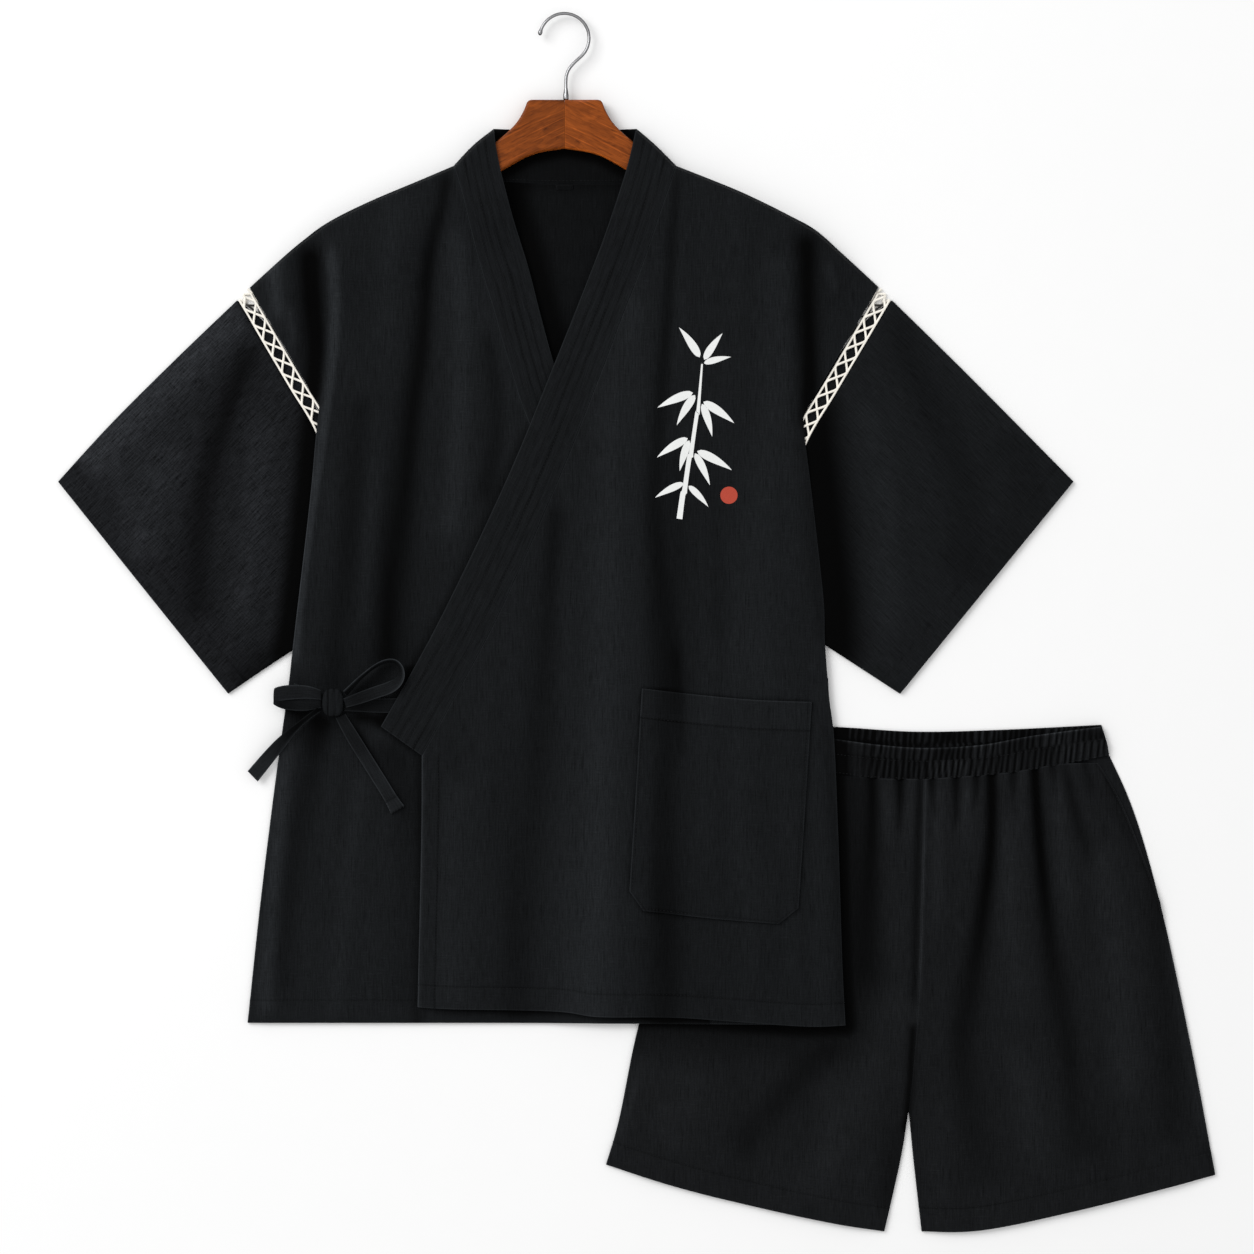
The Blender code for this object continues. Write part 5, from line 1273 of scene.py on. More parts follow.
def ribbon(name, table, shades_along, tip=0.0):
    """A folded strip through a table's rows. tip is the length of its sewn end.

    Its edges are soft. Where it stands on edge, the raised edge gets a painted highlight and the face painted
    shade, and the sewn end is painted lighter.
    """
    step, thickness, cut_width = 1.6, 1.0, 12.0
    route = curve_through(table)
    share = np.linspace(0, 1, max(int(route.length / step), 6))
    x, y, height, width, heading, tilt = route(share).T
    centre = np.stack([x, y, tie_level(x, y) + height + 0.6], -1)
    h, t = np.radians(heading), np.radians(tilt)
    across = np.stack([np.cos(h) * np.cos(t), np.sin(h) * np.cos(t), np.sin(t)], -1) * width[:, None]
    places = np.array([-0.5, -0.46, -0.36, -0.18, 0, 0.18, 0.36, 0.46, 0.5])
    sheet_points = centre[:, None] + across[:, None] * places[None, :, None]
    run = np.gradient(sheet_points, axis=0)
    normal = np.cross(run, across[:, None] * np.ones((1, len(places), 1)))
    normal /= np.linalg.norm(normal, axis=2)[..., None]
    if normal[..., 2].mean() < 0:
        normal = -normal
        sheet_points, normal = sheet_points[:, ::-1], normal[:, ::-1]
    full = thickness * np.sqrt(np.clip(1.12 - (2 * places) ** 2, 0.05, 1))[None, :, None] * 0.5
    along = share * route.length
    wrinkle = 0.12 * soft_noise(along[:, None], places[None] * cut_width, 5, 6, 61)[..., None]
    sewn = np.broadcast_to((along > route.length - tip)[:, None], (len(along), len(places)))
    top = sheet_points + normal * (full + wrinkle + 0.45 * sewn[..., None])
    under = sheet_points - normal * full
    grain = np.stack(np.broadcast_arrays(places * cut_width, along[:, None]), -1)
    edge = np.broadcast_to((0.5 - np.abs(places)) * cut_width, top.shape[:2])
    random_patches = 0.35 * soft_noise(along[:, None] + 0 * edge, edge, 12, 40, 63)
    on_edge = ease(np.abs(np.sin(t)) * 1.4 - 0.3)[:, None]
    raised = (places[None] * np.sign(np.sin(t) + 1e-9)[:, None]) > 0.3
    # painted shade along the strip from its table, with random lighter and darker patches; the sewn end
    # painted lighter
    shade = np.interp(share, *np.array(shades_along).T)[:, None] + random_patches - 0.4 * sewn
    # painted highlight on the raised edge and painted shade on the face where it stands on edge; a flat
    # strip's edges painted a little lighter
    shade += on_edge * np.where(raised, -1.1, 0.45) - 0.25 * (1 - on_edge) * (edge < 1)
    # painted shade in the seam where the sewn end starts
    shade += 0.9 * np.exp(-((along - route.length + tip) / 0.9) ** 2)[:, None] * (tip > 0)
    thing = close_wall(name, top, under, BLACK_CLOTH, grain, np.minimum(edge, 3.0), np.clip(shade, -1.2, 0.9))
    state_size(thing, width.max(), route.length, width.mean() * route.length)
    return top


for name, table, shades_along in (("tie_from_collar_cloth", TIE_FROM_COLLAR, TIE_FROM_COLLAR_SHADES),
                           ("tie_from_side_cloth", TIE_FROM_SIDE, TIE_FROM_SIDE_SHADES),
                           ("bow_loop_left_cloth", LOOP_LEFT, LOOP_LEFT_SHADES),
                           ("bow_loop_right_cloth", LOOP_RIGHT, LOOP_RIGHT_SHADES),
                           ("bow_tail_left_cloth", TAIL_LEFT, TAIL_LEFT_SHADES)):
    ribbon(name, table, shades_along)
tail = ribbon("bow_tail_right_cloth", TAIL_RIGHT, TAIL_RIGHT_SHADES, 12.0)
tip_sides = tail[-9:-1, -2][::-1], tail[-9:-1, 1]
STITCH_PATHS["jacket"].append(np.vstack([tail[-1, 1:-1], tip_sides[0], tail[-9, 1:-1][::-1], tip_sides[1]]))
theta = np.linspace(-math.pi / 2, math.pi / 2, 26)[:, None]
phi = np.linspace(0, 2 * math.pi, 49)[:-1][None]


def rounded(value, power):
    """A sine or cosine made squarer."""
    return np.sign(value) * np.abs(value) ** power


def weld(mesh, distance=1e-6):
    """Join a mesh's points where they coincide, and turn its faces outwards."""
    welder = bmesh.new()
    welder.from_mesh(mesh)
    bmesh.ops.remove_doubles(welder, verts=welder.verts, dist=distance)
    bmesh.ops.recalc_face_normals(welder, faces=welder.faces)
    welder.to_mesh(mesh)
    welder.free()


form = np.stack([
    rounded(np.cos(theta), 0.55) * rounded(np.cos(phi), 0.7) * np.ones_like(theta),
    rounded(np.sin(theta), 0.75) * np.ones_like(phi),
    rounded(np.cos(theta), 0.55) * rounded(np.sin(phi), 0.7) * np.ones_like(theta)], -1)
fold = 1 - sum(depth * np.exp(-((form[..., 0] - at) / half) ** 2) for at, half, depth in KNOT_FOLDS)
form[..., 2] *= fold * (1 + 0.05 * soft_noise(form[..., 0] * 9, form[..., 1] * 12, 3, 5, 71))
form[..., 0] *= 1 - 0.12 * np.abs(form[..., 1]) ** 1.5
level = float(tie_level(*np.array(KNOT_PLACE))) + 0.4 + KNOT_SIZE[2] / 2
knot_points = (form * np.array(KNOT_SIZE) / 2 + np.array([*KNOT_PLACE, level])).reshape(-1, 3)
faces = grid_faces(len(theta), phi.shape[1], 0, True)[:, ::-1]
# painted shade in the knot's folds
knot_fold_shade = sum(np.exp(-((form[..., 0] - at) / (half + 0.01)) ** 2) for at, half, depth in KNOT_FOLDS)
knot = make_mesh("bow_knot_cloth", knot_points, faces, BLACK_CLOTH, knot_points[:, :2],
                 np.full(len(knot_points), 5.0), 0.8 * knot_fold_shade.ravel())
weld(knot.data)
print("bow: knot at", KNOT_PLACE, "and", len(knot.data.polygons), "faces")

# %% [markdown]
# Sewing thread shows as a row of small dashes. An array modifier could repeat one stitch, but only along a
# single curve and all alike. Geometry Nodes walk along each path that the panels left, set a small spindle
# at every step, turn it along the path and vary its size a little. The tree ends by making the copies
# real, and its result is kept as a plain mesh.

# %% A tree for stitches


def new_tree(name, numbers):
    """A Geometry Nodes tree with a path, a material and named numbers for its inputs."""
    tree = bpy.data.node_groups.new(name, "GeometryNodeTree")
    tree.interface.new_socket("Path", in_out="INPUT", socket_type="NodeSocketGeometry")
    tree.interface.new_socket("Finish", in_out="INPUT", socket_type="NodeSocketMaterial")
    for label in numbers:
        tree.interface.new_socket(label, in_out="INPUT", socket_type="NodeSocketFloat")
    tree.interface.new_socket("Result", in_out="OUTPUT", socket_type="NodeSocketGeometry")
    return tree, tree.nodes.new("NodeGroupInput"), tree.nodes.new("NodeGroupOutput")


def wire(tree, kind, settings=None, **sockets):
    """Add a node to a tree: its settings first, then values or links, by name with _ for a space."""
    node = tree.nodes.new(kind)
    for key, value in (settings or {}).items():
        setattr(node, key, value)
    for key, value in sockets.items():
        place = node.inputs[int(key[1:])] if key[1:].isdigit() else node.inputs[key.replace("_", " ")]
        if isinstance(value, bpy.types.NodeSocket):
            tree.links.new(value, place)
        else:
            place.default_value = value
    return node


def reckon(tree, operation, *values):
    """A Math node's result."""
    return wire(tree, "ShaderNodeMath", {"operation": operation},
                **{f"_{k}": value for k, value in enumerate(values)}).outputs[0]


def end_tree(tree, geometry, given, result):
    """Make a tree's copies real, give them their finish and send them out."""
    real = wire(tree, "GeometryNodeRealizeInstances", Geometry=geometry)
    painted = wire(tree, "GeometryNodeSetMaterial", Geometry=real.outputs[0],
                   Material=given.outputs["Finish"])
    tree.links.new(painted.outputs[0], result.inputs[0])


def kept_mesh(thing):
    """What Blender makes of an object, as a plain mesh."""
    bpy.context.view_layer.update()
    return bpy.data.meshes.new_from_object(thing.evaluated_get(bpy.context.evaluated_depsgraph_get()))


def plain_mesh(name, thing, tree, finish, numbers):
    """Run a tree on an object's mesh and keep the result as a plain mesh."""
    run = thing.modifiers.new(name, "NODES")
    run.node_group = tree
    values = dict(numbers, Finish=finish)
    for item in tree.interface.items_tree:
        if item.in_out == "INPUT" and item.name in values:
            run[item.identifier] = values[item.name]
    mesh = kept_mesh(thing)
    thing.modifiers.remove(run)
    return mesh


def path_object(name, paths):
    """A mesh of bare edges that follows paths of points in millimetres."""
    points = np.vstack(paths)
    edges, start = [], 0
    for path in paths:
        edges += [(start + k, start + k + 1) for k in range(len(path) - 1)]
        start += len(path)
    mesh = bpy.data.meshes.new(name)
    mesh.from_pydata((points * MM).tolist(), edges, [])
    return link(name, mesh)


STITCH_SIZES = {"Pitch": 0.0033, "Length": 0.0023, "Width": 0.00042}
SPINDLE_SIDES, SPINDLE_RINGS = 6, 4
stitch_tree, given, result = new_tree("stitches", ["Pitch", "Length", "Width"])
curve = wire(stitch_tree, "GeometryNodeMeshToCurve", Mesh=given.outputs["Path"])
steps = wire(stitch_tree, "GeometryNodeCurveToPoints", {"mode": "LENGTH"}, Curve=curve.outputs[0],
             Length=given.outputs["Pitch"])
half_length = reckon(stitch_tree, "MULTIPLY", given.outputs["Length"], 0.5)
half_width = reckon(stitch_tree, "MULTIPLY", given.outputs["Width"], 0.5)
size = wire(stitch_tree, "ShaderNodeCombineXYZ", X=half_length, Y=half_width, Z=half_width)
spindle = wire(stitch_tree, "GeometryNodeMeshUVSphere", Segments=SPINDLE_SIDES, Rings=SPINDLE_RINGS,
               Radius=1.0)
spindle = wire(stitch_tree, "GeometryNodeTransform", Geometry=spindle.outputs[0], Scale=size.outputs[0])
turn = wire(stitch_tree, "FunctionNodeAlignRotationToVector", {"axis": "X"}, Vector=steps.outputs["Tangent"])
vary = wire(stitch_tree, "FunctionNodeRandomValue", {"data_type": "FLOAT"}, Seed=5)
vary.inputs[2].default_value, vary.inputs[3].default_value = 0.82, 1.12
copies = wire(stitch_tree, "GeometryNodeInstanceOnPoints", Points=steps.outputs["Points"],
              Instance=spindle.outputs[0], Rotation=turn.outputs[0], Scale=vary.outputs[1])
end_tree(stitch_tree, copies.outputs[0], given, result)

for garment, paths in STITCH_PATHS.items():
    guide = path_object(garment + "_guide", [path + np.array([0, 0, 0.04]) for path in paths])
    mesh = plain_mesh("stitches", guide, stitch_tree, THREAD, STITCH_SIZES)
    bpy.data.objects.remove(guide)
    show(garment + "_stitches", mesh, THREAD)
    print(garment, "stitches:", len(mesh.polygons) // (SPINDLE_SIDES * SPINDLE_RINGS))

# %% [markdown]
# The lace that joins each sleeve to the body is crochet cord: two rails, and two cords that zigzag
# between them and cross. A strip with an image of holes would look flat up close. All four cords follow
# one path, so one tree makes them all. It swings a path from side to side by a wave, and a rail is the
# same path held still at the end of its swing.

# %% A tree for lace cords
LACE_WIDTH = 14.4
LACE_SEAM = 0.9
LACE_PERIOD = 17.0
WAVE_POINT = 0.96  # 1 would give the zigzag sharp corners
lace_tree, given, result = new_tree("lace cord", ["Reach", "Waves", "Phase", "Cord", "Weave"])
curve = wire(lace_tree, "GeometryNodeMeshToCurve", Mesh=given.outputs["Path"])
curve = wire(lace_tree, "GeometryNodeResampleCurve", Curve=curve.outputs[0], Count=260)
share = wire(lace_tree, "GeometryNodeSplineParameter")
turns = reckon(lace_tree, "MULTIPLY_ADD", share.outputs["Factor"], given.outputs["Waves"],
               given.outputs["Phase"])
angle = reckon(lace_tree, "MULTIPLY", turns, 2 * math.pi)
swing = reckon(lace_tree, "MULTIPLY", reckon(lace_tree, "SINE", angle), WAVE_POINT)
zigzag = reckon(lace_tree, "DIVIDE", reckon(lace_tree, "ARCSINE", swing), math.asin(WAVE_POINT))
sideways = reckon(lace_tree, "MULTIPLY", zigzag, given.outputs["Reach"])
tangent = wire(lace_tree, "GeometryNodeInputTangent")
side = wire(lace_tree, "ShaderNodeVectorMath", {"operation": "CROSS_PRODUCT"}, _0=tangent.outputs[0],
            _1=(0, 0, 1))
side = wire(lace_tree, "ShaderNodeVectorMath", {"operation": "NORMALIZE"}, _0=side.outputs[0])
shift = wire(lace_tree, "ShaderNodeVectorMath", {"operation": "SCALE"}, _0=side.outputs[0], Scale=sideways)
over = reckon(lace_tree, "MULTIPLY", reckon(lace_tree, "COSINE", angle), given.outputs["Weave"])
lift = wire(lace_tree, "ShaderNodeCombineXYZ", Z=over)
move = wire(lace_tree, "ShaderNodeVectorMath", {"operation": "ADD"}, _0=shift.outputs[0], _1=lift.outputs[0])
moved = wire(lace_tree, "GeometryNodeSetPosition", Geometry=curve.outputs[0], Offset=move.outputs[0])
ring = wire(lace_tree, "GeometryNodeCurvePrimitiveCircle", Resolution=8, Radius=given.outputs["Cord"])
cord = wire(lace_tree, "GeometryNodeCurveToMesh", Curve=moved.outputs[0], Profile_Curve=ring.outputs[0],
            Fill_Caps=True)
end_tree(lace_tree, cord.outputs[0], given, result)
print("lace tree:", len(lace_tree.nodes), "nodes")

# %% [markdown]
# Each armhole has a lace in front and one behind it. One lace could be copied and bent, but the four
# armholes differ, so each lace is run along its own edge, and its cords are gathered into one mesh. The
# cords are cream, and those behind get painted shade where the jacket and sleeve cover them.

# %% The laces
LACE_BACK_SHADE = 0.985  # how dark the covered laces are
lace_finish = Finish("crochet lace", {"Specular IOR Level": 0.2, "Sheen Weight": 0.15})
plies = lace_finish.spots(lace_finish.place(), 1500, 2.0, 0.6)
soiling = lace_finish.spots(lace_finish.place(), 90, 2.0)
# painted shade: the mesh's shade number darkens the laces behind
cream = (0.66 + 0.4 * plies + 0.18 * soiling) * (1 - lace_finish.number("shade"))
LACE = lace_finish.done(lace_finish.tint((0.95, 0.91, 0.83), cream), 0.75 + 0.15 * plies, plies, 0.0003)


def points_of(mesh, what):
    """Each point's place ("co") or direction ("normal"), a row each."""
    numbers = np.zeros(3 * len(mesh.vertices))
    mesh.vertices.foreach_get(what, numbers)
    return numbers.reshape(-1, 3)


def lace(name, armhole, inward, level, shadow):
    """An openwork lace beside an armhole. shadow is how dark the painted shade on its covered part is."""
    line = curve_through(armhole)
    middle = curve_through(beside(line, inward * (LACE_SEAM + LACE_WIDTH / 2), 60), 2)
    path = middle(np.linspace(0.004, 0.99, 150))
    x, y = path.T
    z = level + CLOTH / 2 + back_under(x, y)
    guide = path_object(name + "_guide", [np.stack([x, y, z], -1)])
    waves = int(middle.length / LACE_PERIOD)
    reach = LACE_WIDTH / 2 - 1.0
    # Columns: reach, waves, phase, radius, and how far it goes over and under the other cord
    cords = [(reach, 0, 0.25, 1.05, 0.0), (reach, 0, 0.75, 1.05, 0.0),
             (reach - 0.3, waves / 2, 0.0, 1.1, 0.35), (reach - 0.3, waves / 2, 0.5, 1.1, 0.35)]
    joiner = bmesh.new()
    for reach_mm, turns_count, phase, radius, weave in cords:
        part = plain_mesh("lace cord", guide, lace_tree, LACE,
                          {"Reach": reach_mm * MM, "Waves": float(turns_count), "Phase": phase,
                           "Cord": radius * MM, "Weave": weave * MM})
        joiner.from_mesh(part)
    for face in joiner.faces:
        face.smooth = True
    bmesh.ops.recalc_face_normals(joiner, faces=joiner.faces)
    mesh = bpy.data.meshes.new(name)
    joiner.to_mesh(mesh)
    joiner.free()
    bpy.data.objects.remove(guide)
    up, along = points_of(mesh, "normal")[:, 2], points_of(mesh, "co")[:, 1]
    below_top = (along.max() - along) / MM
    # painted shade on the upward faces, which look into the covered inside; it fades out near the top, where
    # the lace shows against the floor
    keep_number(mesh, "shade", shadow * np.clip(up + 0.5, 0, 1) * ease((below_top - 11) / 5))
    state_size(show(name, mesh, LACE), LACE_WIDTH, middle.length, LACE_WIDTH * middle.length * 0.99)
    print(f"{name}: {len(mesh.polygons)} faces, {waves} waves")


lace("lace_front_left_cord", ARMHOLE_FRONT_LEFT, 1, SLEEVE_FLAT - CLOTH, 0.0)
lace("lace_front_right_cord", ARMHOLE_FRONT_RIGHT, -1, SLEEVE_FLAT - CLOTH, 0.0)
lace("lace_back_left_cord", ARMHOLE_BACK_LEFT, 1, 0.7, LACE_BACK_SHADE)
lace("lace_back_right_cord", ARMHOLE_BACK_RIGHT, -1, 0.7, LACE_BACK_SHADE)

# %% [markdown]
# The chest carries a small white print. Here it is a plain sprig of bamboo, as if brushed on, with a small
# red sun beside it. An image could carry it, but it would blur up close and could not be edited leaf by
# leaf. So each leaf is a formula's outline, laid as a thin skin of ink a hair above the cloth.

# %% The chest print
PRINT_FROM, PRINT_TO = 0.03, 0.16  # underside and top of the ink above the cloth


def print_material(name, colour, least, uneven):
    """Ink on cloth: dull and a little uneven."""
    finish = Finish(name, {"Specular IOR Level": 0.25})
    ink = finish.spots(finish.place(), 900, 3.0, 0.7)
    return finish.done(finish.tint(colour, least + uneven * ink), 0.6 + 0.2 * ink, ink, 0.00015)


PRINT_WHITE = print_material("white print", (0.80, 0.81, 0.80), 0.8, 0.3)
PRINT_RED = print_material("red print", (0.43, 0.055, 0.03), 0.75, 0.4)

# Columns: x and y of the leaf's stem end, length, widest width, heading in degrees
LEAVES = [
    (60, 244, 34, 7.5, 118), (62, 242, 30, 7.0, 62), (61, 240, 26, 6.0, 20),
    (55, 214, 36, 8.0, 196), (56, 213, 33, 7.5, 232), (60, 206, 35, 8.0, -28), (60, 205, 32, 7.0, -66),
    (50, 172, 34, 7.5, 205), (50, 171, 30, 7.0, 246), (54, 160, 37, 8.0, -22), (53, 159, 33, 7.0, -58),
    (46, 130, 30, 6.5, 200), (47, 128, 27, 6.0, -40),
]
# Columns: x, y, half width of the stem
STEM = [(40, 96, 2.7), (43, 118, 2.5), (44.5, 121, 3.2), (45, 124, 2.3), (49, 152, 2.2), (50.5, 155, 2.9),
        (51, 158, 2.0), (56, 192, 1.8), (57, 195, 2.5), (57.5, 198, 1.6), (61, 240, 0.8)]
SUN = (86, 118, 8.0)


def rim_of(rows):
    """The outermost points of a grid, in order round it."""
    return rows[0] + [row[-1] for row in rows[1:]] + rows[-1][-2::-1] + [row[0] for row in rows[-2:0:-1]]


def laid_print(name, outlines, material):
    """Flat outlines as thin patches on the over front. An outline is rows of left and right points."""
    joiner = bmesh.new()
    for left, right in outlines:
        share = np.linspace(0, 1, 6)[None, :, None]
        plan = left[:, None] * (1 - share) + right[:, None] * share
        x, y = plan[..., 0], plan[..., 1]
        z = over_front_under(x, y)[0] + CLOTH
        rows, columns = x.shape
        verts = [[joiner.verts.new(Vector((x[r, c], y[r, c], z[r, c] + height)) * MM) for c in range(columns)]
                 for height in (PRINT_TO, PRINT_FROM) for r in range(rows)]
        top, under = verts[:rows], verts[rows:]
        for r in range(rows - 1):
            for c in range(columns - 1):
                joiner.faces.new((top[r][c], top[r + 1][c], top[r + 1][c + 1], top[r][c + 1]))
                joiner.faces.new((under[r][c], under[r][c + 1], under[r + 1][c + 1], under[r + 1][c]))
        rim_top, rim_under = rim_of(top), rim_of(under)
        for k in range(len(rim_top)):
            m = (k + 1) % len(rim_top)
            joiner.faces.new((rim_top[k], rim_top[m], rim_under[m], rim_under[k]))
    bmesh.ops.remove_doubles(joiner, verts=joiner.verts, dist=1e-6)
    bmesh.ops.recalc_face_normals(joiner, faces=joiner.faces)
    mesh = bpy.data.meshes.new(name)
    joiner.to_mesh(mesh)
    joiner.free()
    show(name, mesh, material)
    print(f"{name}: {len(mesh.polygons)} faces")


def leaf(x, y, length, width, heading):
    """A leaf's two edges: narrow at the stem, widest early, and a long point."""
    t = np.linspace(0, 1, 15)
    half = width / 2 * np.sin(np.pi * t ** 0.62) ** 0.9
    bend = np.radians(heading) - 0.22 * t * math.copysign(1, math.cos(math.radians(heading)))
    step = length / (len(t) - 1)
    centre = np.stack([x + np.cumsum(np.cos(bend)) * step, y + np.cumsum(np.sin(bend)) * step], -1)
    side = np.stack([-np.sin(bend), np.cos(bend)], -1)
    return centre + side * half[:, None], centre - side * half[:, None]


stem = curve_through(STEM)(np.linspace(0, 1, 70))
direction = np.gradient(stem[:, :2], axis=0)
direction /= np.linalg.norm(direction, axis=1)[:, None]
side = np.stack([-direction[:, 1], direction[:, 0]], -1)
stem_edges = (stem[:, :2] + side * stem[:, 2:], stem[:, :2] - side * stem[:, 2:])
laid_print("chest_sprig_print", [stem_edges] + [leaf(*row) for row in LEAVES], PRINT_WHITE)
turn = np.linspace(math.pi / 2, 3 * math.pi / 2, 25)
sun_left = np.stack([SUN[0] + SUN[2] * np.cos(turn), SUN[1] + SUN[2] * np.sin(turn)], -1)
sun_right = np.stack([SUN[0] - SUN[2] * np.cos(turn), SUN[1] + SUN[2] * np.sin(turn)], -1)
laid_print("chest_sun_print", [(sun_left, sun_right)], PRINT_RED)

# %% [markdown]
# The hanger is two mirrored pieces of varnished wood, glued at the middle. A box could be cut and rounded
# with modifiers, but a 2D curve does it at once: its outline is filled and given a rounded edge. The grain
# is noise stretched along each arm and mirrored at the joint, as wood from one plank would show it.

# %% The hanger's wood
wood_finish = Finish("varnished wood", {"Coat Weight": 0.04, "Coat Roughness": 0.2,
                                        "Specular IOR Level": 0.08})
axes = wood_finish.add("ShaderNodeSeparateXYZ", {}, {0: wood_finish.place()})
from_joint = axes - HANGER_CENTRE * MM
across = from_joint.size()
height = Value(wood_finish, axes.socket.node.outputs[1])
depth = Value(wood_finish, axes.socket.node.outputs[2])
side_of_joint = from_joint.step(-0.0002, 0.0002)
grain_u = across * 0.9 - height * 0.43
grain_v = across * 0.43 + height * 0.9
grain_place = wood_finish.add("ShaderNodeCombineXYZ", {},
                              {0: grain_u, 1: grain_v + 0.013 * side_of_joint, 2: depth})
flame = wood_finish.spots(grain_place, 100, 4.0, 0.6, (0.5, 1.6, 1), 1.2)
fibres = wood_finish.spots(grain_place, 1000, 3.0, 0.7, (0.04, 1.3, 1))
pores = wood_finish.spots(grain_place, 1000, 1.0, 0.5, (0.09, 1.6, 1)).step(0.62, 0.72)
streaks = wood_finish.spots(grain_place, 1000, 1.0, 0.5, (0.022, 0.75, 1)).step(0.6, 0.74)
tone = 0.85 * flame + 0.85 * fibres - 0.3 * pores + 0.55 * streaks - 0.05
joint_line = 1 - (across - 0.0004).size().step(0.0, 0.0007)
redder = wood_finish.blend(flame, (0.175, 0.036, 0.0045, 1), (0.31, 0.074, 0.0105, 1))
# painted light and shade on the rounded edges, from the shade number
tone = (tone + 0.2 * joint_line) * (0.94 + 0.15 * side_of_joint) * (1 - wood_finish.number("shade"))
WOOD = wood_finish.done(wood_finish.tint(redder, tone), 0.30 + 0.18 * fibres, fibres - 0.5 * pores, 0.00008)
WOOD_HALF_DEPTH, WOOD_BEVEL = 6.0, 2.4
HANGER_LEVEL = 7.5  # height of its middle above the floor


def wooden_half(name, side):
    """One half of the hanger: an outline with smooth runs between its corners."""
    head = curve_through(HANGER_UPPER)(np.linspace(0.028, 1, 60))
    end = curve_through([HANGER_UPPER[-1]] + HANGER_END)(np.linspace(0, 1, 16))[1:]
    arm = curve_through([HANGER_END[-1]] + HANGER_LOWER)(np.linspace(0, 1, 60))[1:]
    corner = [(-6, 485.1), (31, 485.1), (33.4, 484.4), (35.2, 482.4)]
    outline = np.vstack([corner, head, end, arm, [(-6, 440.6)]])
    data = bpy.data.curves.new(name, "CURVE")
    data.dimensions, data.fill_mode = "2D", "BOTH"
    data.extrude, data.bevel_depth = (WOOD_HALF_DEPTH - WOOD_BEVEL) * MM, WOOD_BEVEL * MM
    data.offset, data.bevel_resolution = -WOOD_BEVEL * MM, 4
    spline = data.splines.new("POLY")
    spline.points.add(len(outline) - 1)
    for point, (d, y) in zip(spline.points, outline):
        point.co = ((HANGER_CENTRE + side * d) * MM, y * MM, 0, 1)
    spline.use_cyclic_u = True
    guide = link(name + "_guide", data)
    mesh = kept_mesh(guide)
    bpy.data.objects.remove(guide)
    welder = bmesh.new()
    welder.from_mesh(mesh)
    bmesh.ops.remove_doubles(welder, verts=welder.verts, dist=1e-6)
    bmesh.ops.translate(welder, verts=welder.verts, vec=(0, 0, HANGER_LEVEL * MM))
    cut = bmesh.ops.bisect_plane(welder, geom=welder.verts[:] + welder.edges[:] + welder.faces[:], dist=1e-7,
                                 plane_co=((HANGER_CENTRE + side * 0.12) * MM, 0, 0), plane_no=(-side, 0, 0),
                                 clear_outer=True)
    bmesh.ops.holes_fill(welder, edges=[e for e in cut["geom_cut"] if isinstance(e, bmesh.types.BMEdge)])
    bmesh.ops.recalc_face_normals(welder, faces=welder.faces)
    for face in welder.faces:
        face.smooth = abs(face.normal.z) < 0.999
    welder.to_mesh(mesh)
    welder.free()
    # painted highlight on the rounded edges that face down, strongest where they face left, and painted shade
    # on those facing right or up
    right, up, out = points_of(mesh, "normal").T
    lit = np.clip(-up, 0, 1) * (0.45 + 0.55 * (right < 0))
    unlit = np.clip(0.8 * right + 0.3 * up, 0, 1)
    rounding = ease((1 - np.abs(out)) / 0.7)
    keep_number(mesh, "shade", rounding * (0.75 * unlit - 1.7 * lit))
    show(name, mesh, WOOD)
    print(f"{name}: {len(mesh.polygons)} faces")


wooden_half("left_half_wood", -1)
wooden_half("right_half_wood", 1)

# %% [markdown]
# The hook is a plated wire: a long arc, a short return and a straight shank that ends in a small collar.
# A torus could give the arc, but not the rest. A curve with a round bevel is all it needs, as long as it
# has enough points to look round.

# %% The hook
steel_finish = Finish("plated wire", {"Metallic": 1.0, "Specular Tint": (0.12, 0.12, 0.12, 1)})
scratches = steel_finish.spots(steel_finish.place(), 700, 3.0, 0.6, (1, 0.3, 1))
facing = steel_finish.add("ShaderNodeLayerWeight", {}, {"Blend": 0.5}, 1)
# painted reflection: the plating's colour darkens towards the wire's outline, as a mirror of dark
# surroundings would
plating_and_dark_edge = (0.8 + 0.35 * scratches) * (1 - 0.96 * facing.step(0.06, 0.36))
STEEL = steel_finish.done(steel_finish.tint((0.36, 0.36, 0.37), plating_and_dark_edge), 0.16 + 0.14 * scratches, scratches,
                          0.00002)
HOOK_CENTRE, HOOK_RADIUS, WIRE_RADIUS = np.array([-67, 542.9]), 23, 1.38
HOOK_TIP = (1.0, 1.85, 2.0, 1.7)  # radii of the small ball at its end
HOOK_COLLAR = (2.3, 2.4, 2.4, 2.3)
arc = np.radians(np.linspace(173, -48, 64))
hook_route = HOOK_CENTRE + HOOK_RADIUS * np.stack([np.cos(arc), np.sin(arc)], -1)
lower = curve_through([hook_route[-1], (-58.2, 519.6), (-62.6, 514.2), (-64.9, 508.6), (-65.5, 503)])
shank = [(-65.5, y) for y in (497, 491.2, 490.8, 486.2, 485.6)]
hook_route = np.vstack([hook_route, lower(np.linspace(0.04, 1, 24)), shank])
hook_radius = np.full(len(hook_route), WIRE_RADIUS)
hook_radius[:4], hook_radius[-4:] = HOOK_TIP, HOOK_COLLAR
hook_data = bpy.data.curves.new("hook_wire", "CURVE")
hook_data.dimensions, hook_data.use_fill_caps = "3D", True
hook_data.bevel_depth, hook_data.bevel_resolution = MM, 5
spline = hook_data.splines.new("POLY")
spline.points.add(len(hook_route) - 1)
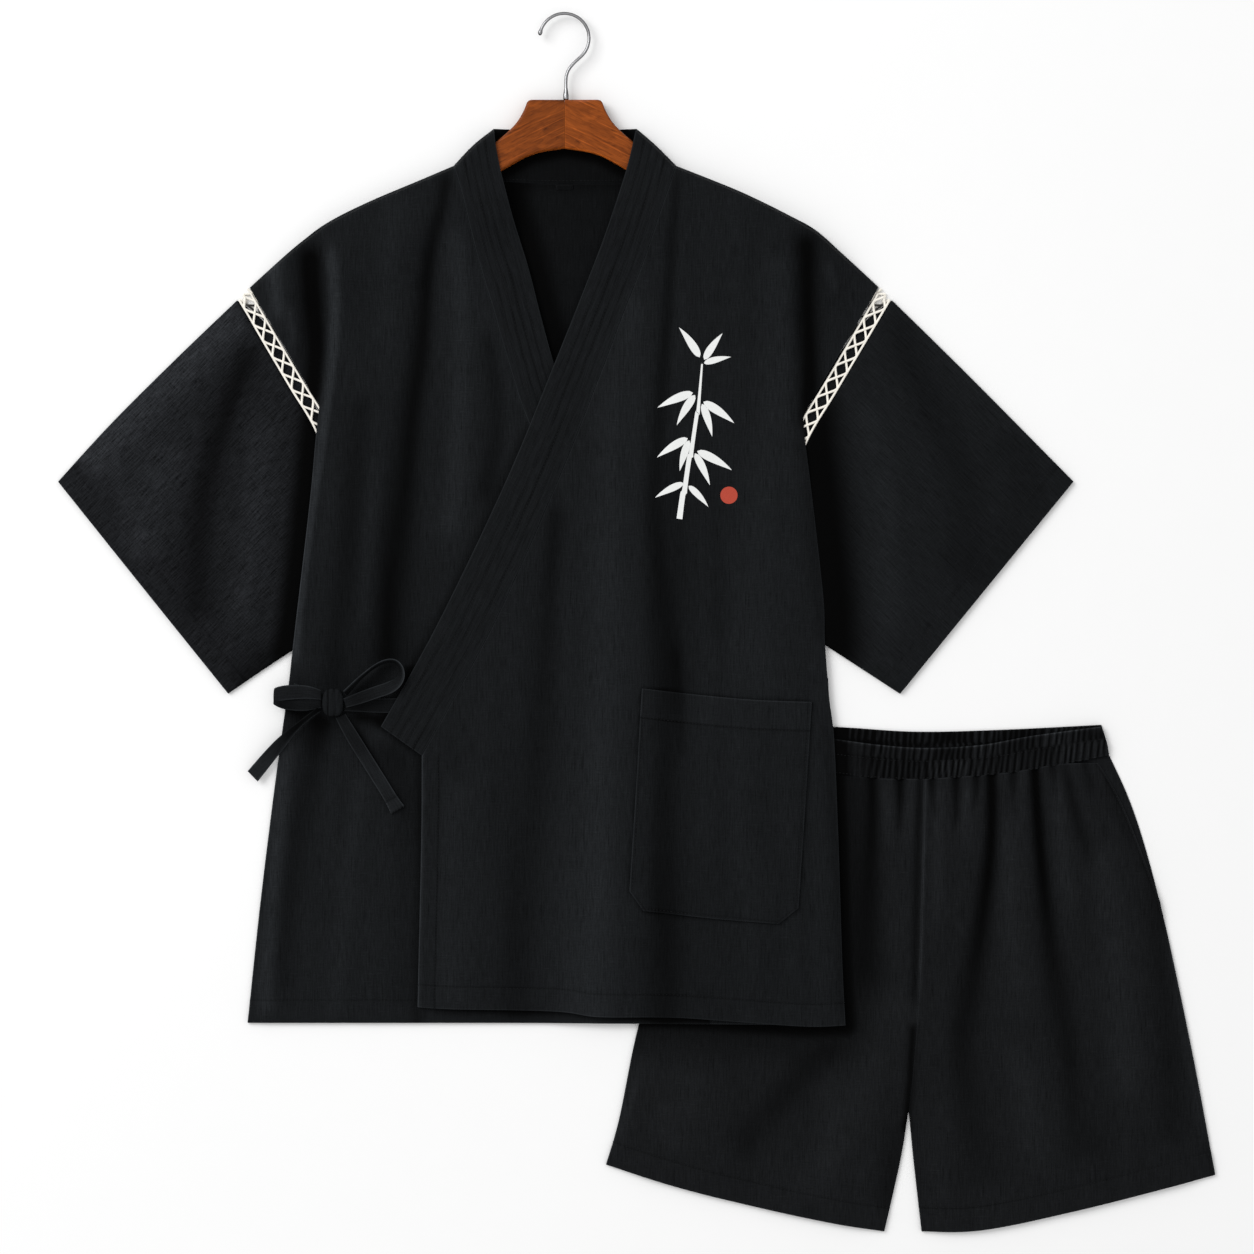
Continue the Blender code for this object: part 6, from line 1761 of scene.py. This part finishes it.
for point, (x, y), radius in zip(spline.points, hook_route, hook_radius):
    point.co, point.radius = (x * MM, y * MM, HANGER_LEVEL * MM, 1), radius
guide = link("hook_guide", hook_data)
hook_mesh = kept_mesh(guide)
bpy.data.objects.remove(guide)
weld(hook_mesh, 1e-7)
for face in hook_mesh.polygons:
    face.use_smooth = len(face.vertices) < 5
show("hook_wire", hook_mesh, STEEL)
print("hook:", len(hook_mesh.polygons), "faces")

# %% [markdown]
# Every piece is now put on the frame, and the solid it stands for is hidden. Each already has its finish
# and, if it is cloth, the size it was cut to. Sizes come from the pieces themselves.

# %% Put the pieces on the frame
# Only the solids whose names aren't the piece's own name without its last word
STANDS_FOR = {
    "back_cloth": "jacket_back", "over_front_cloth": "front_over", "under_front_cloth": "front_under",
    "over_collar_cloth": "collar_over", "under_collar_cloth": "collar_under",
    "back_collar_cloth": "collar_back", "left_sleeve_cloth": "sleeve_left",
    "right_sleeve_cloth": "sleeve_right", "shorts_left_front_cloth": "shorts_front_left",
    "shorts_right_front_cloth": "shorts_front_right", "shorts_left_back_cloth": "shorts_back_left",
    "shorts_right_back_cloth": "shorts_back_right", "left_half_wood": "hanger_half_left",
    "right_half_wood": "hanger_half_right", "hook_wire": "hanger_hook",
}
for name, piece in PIECES.items():
    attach(piece, "root")
    if not name.endswith(("_stitches", "_print")):
        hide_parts(STANDS_FOR.get(name, name.rsplit("_", 1)[0]))
faces = sum(len(piece.data.polygons) for piece in PIECES.values())
print("pieces:", len(PIECES), "faces:", faces)

# %% [markdown]
# The set lies on a white sheet and is seen from straight above. A ring of lamps would light it evenly but
# leave a shadow for each. So soft light comes from all round, and one large lamp to the upper left lights
# the creases and casts the thin shadows at the right and lower edges; painted shade on the pieces deepens
# both.

# %% Floor, light and camera
floor_finish = Finish("white floor", {"Specular IOR Level": 0.0})
paper = floor_finish.spots(floor_finish.place(), 30, 2.0)
FLOOR = floor_finish.done(floor_finish.tint((0.9, 0.9, 0.9), 0.995 + 0.01 * paper), 0.9 + 0.02 * paper, paper,
                          0.0)
FLOOR_HALF, FLOOR_LEVEL = 60, -0.0004  # metres
floor_mesh = bpy.data.meshes.new("floor")
floor_mesh.from_pydata([(x * FLOOR_HALF, y * FLOOR_HALF, FLOOR_LEVEL)
                        for x, y in ((-1, -1), (1, -1), (1, 1), (-1, 1))], [], [(0, 1, 2, 3)])
floor_mesh.materials.append(FLOOR)
link("floor", floor_mesh)

world = bpy.data.worlds.new("soft light")
bpy.context.scene.world = world
world.use_nodes = True
backdrop = world.node_tree.nodes["Background"]
backdrop.inputs["Color"].default_value = (1.0, 1.0, 1.0, 1)
backdrop.inputs["Strength"].default_value = 0.78


def lamp(name, place, size, power):
    """A square lamp that faces the set's middle."""
    data = bpy.data.lights.new(name, "AREA")
    data.size, data.energy = size, power
    thing = link(name, data)
    thing.location = place
    thing.rotation_mode = "QUATERNION"
    thing.rotation_quaternion = (-Vector(place)).to_track_quat("-Z", "Y")


lamp("key", (-3.2, 2.4, 3.4), 3.0, 150)

CAMERA_LENS, SENSOR = 100.0, 36.0
VIEW_WIDTH = 1.16622  # metres seen from side to side, a little above the floor
VIEW_MIDDLE = (-8.74, -4.46, 6)
camera_data = bpy.data.cameras.new("camera")
camera_data.lens, camera_data.sensor_width = CAMERA_LENS, SENSOR
camera = link("camera", camera_data)
camera.location = (VIEW_MIDDLE[0] * MM, VIEW_MIDDLE[1] * MM,
                   VIEW_WIDTH * CAMERA_LENS / SENSOR + VIEW_MIDDLE[2] * MM)
bpy.context.scene.camera = camera
bpy.context.scene.view_settings.view_transform = "Standard"
print("camera height:", round(camera.location.z, 3), "m")
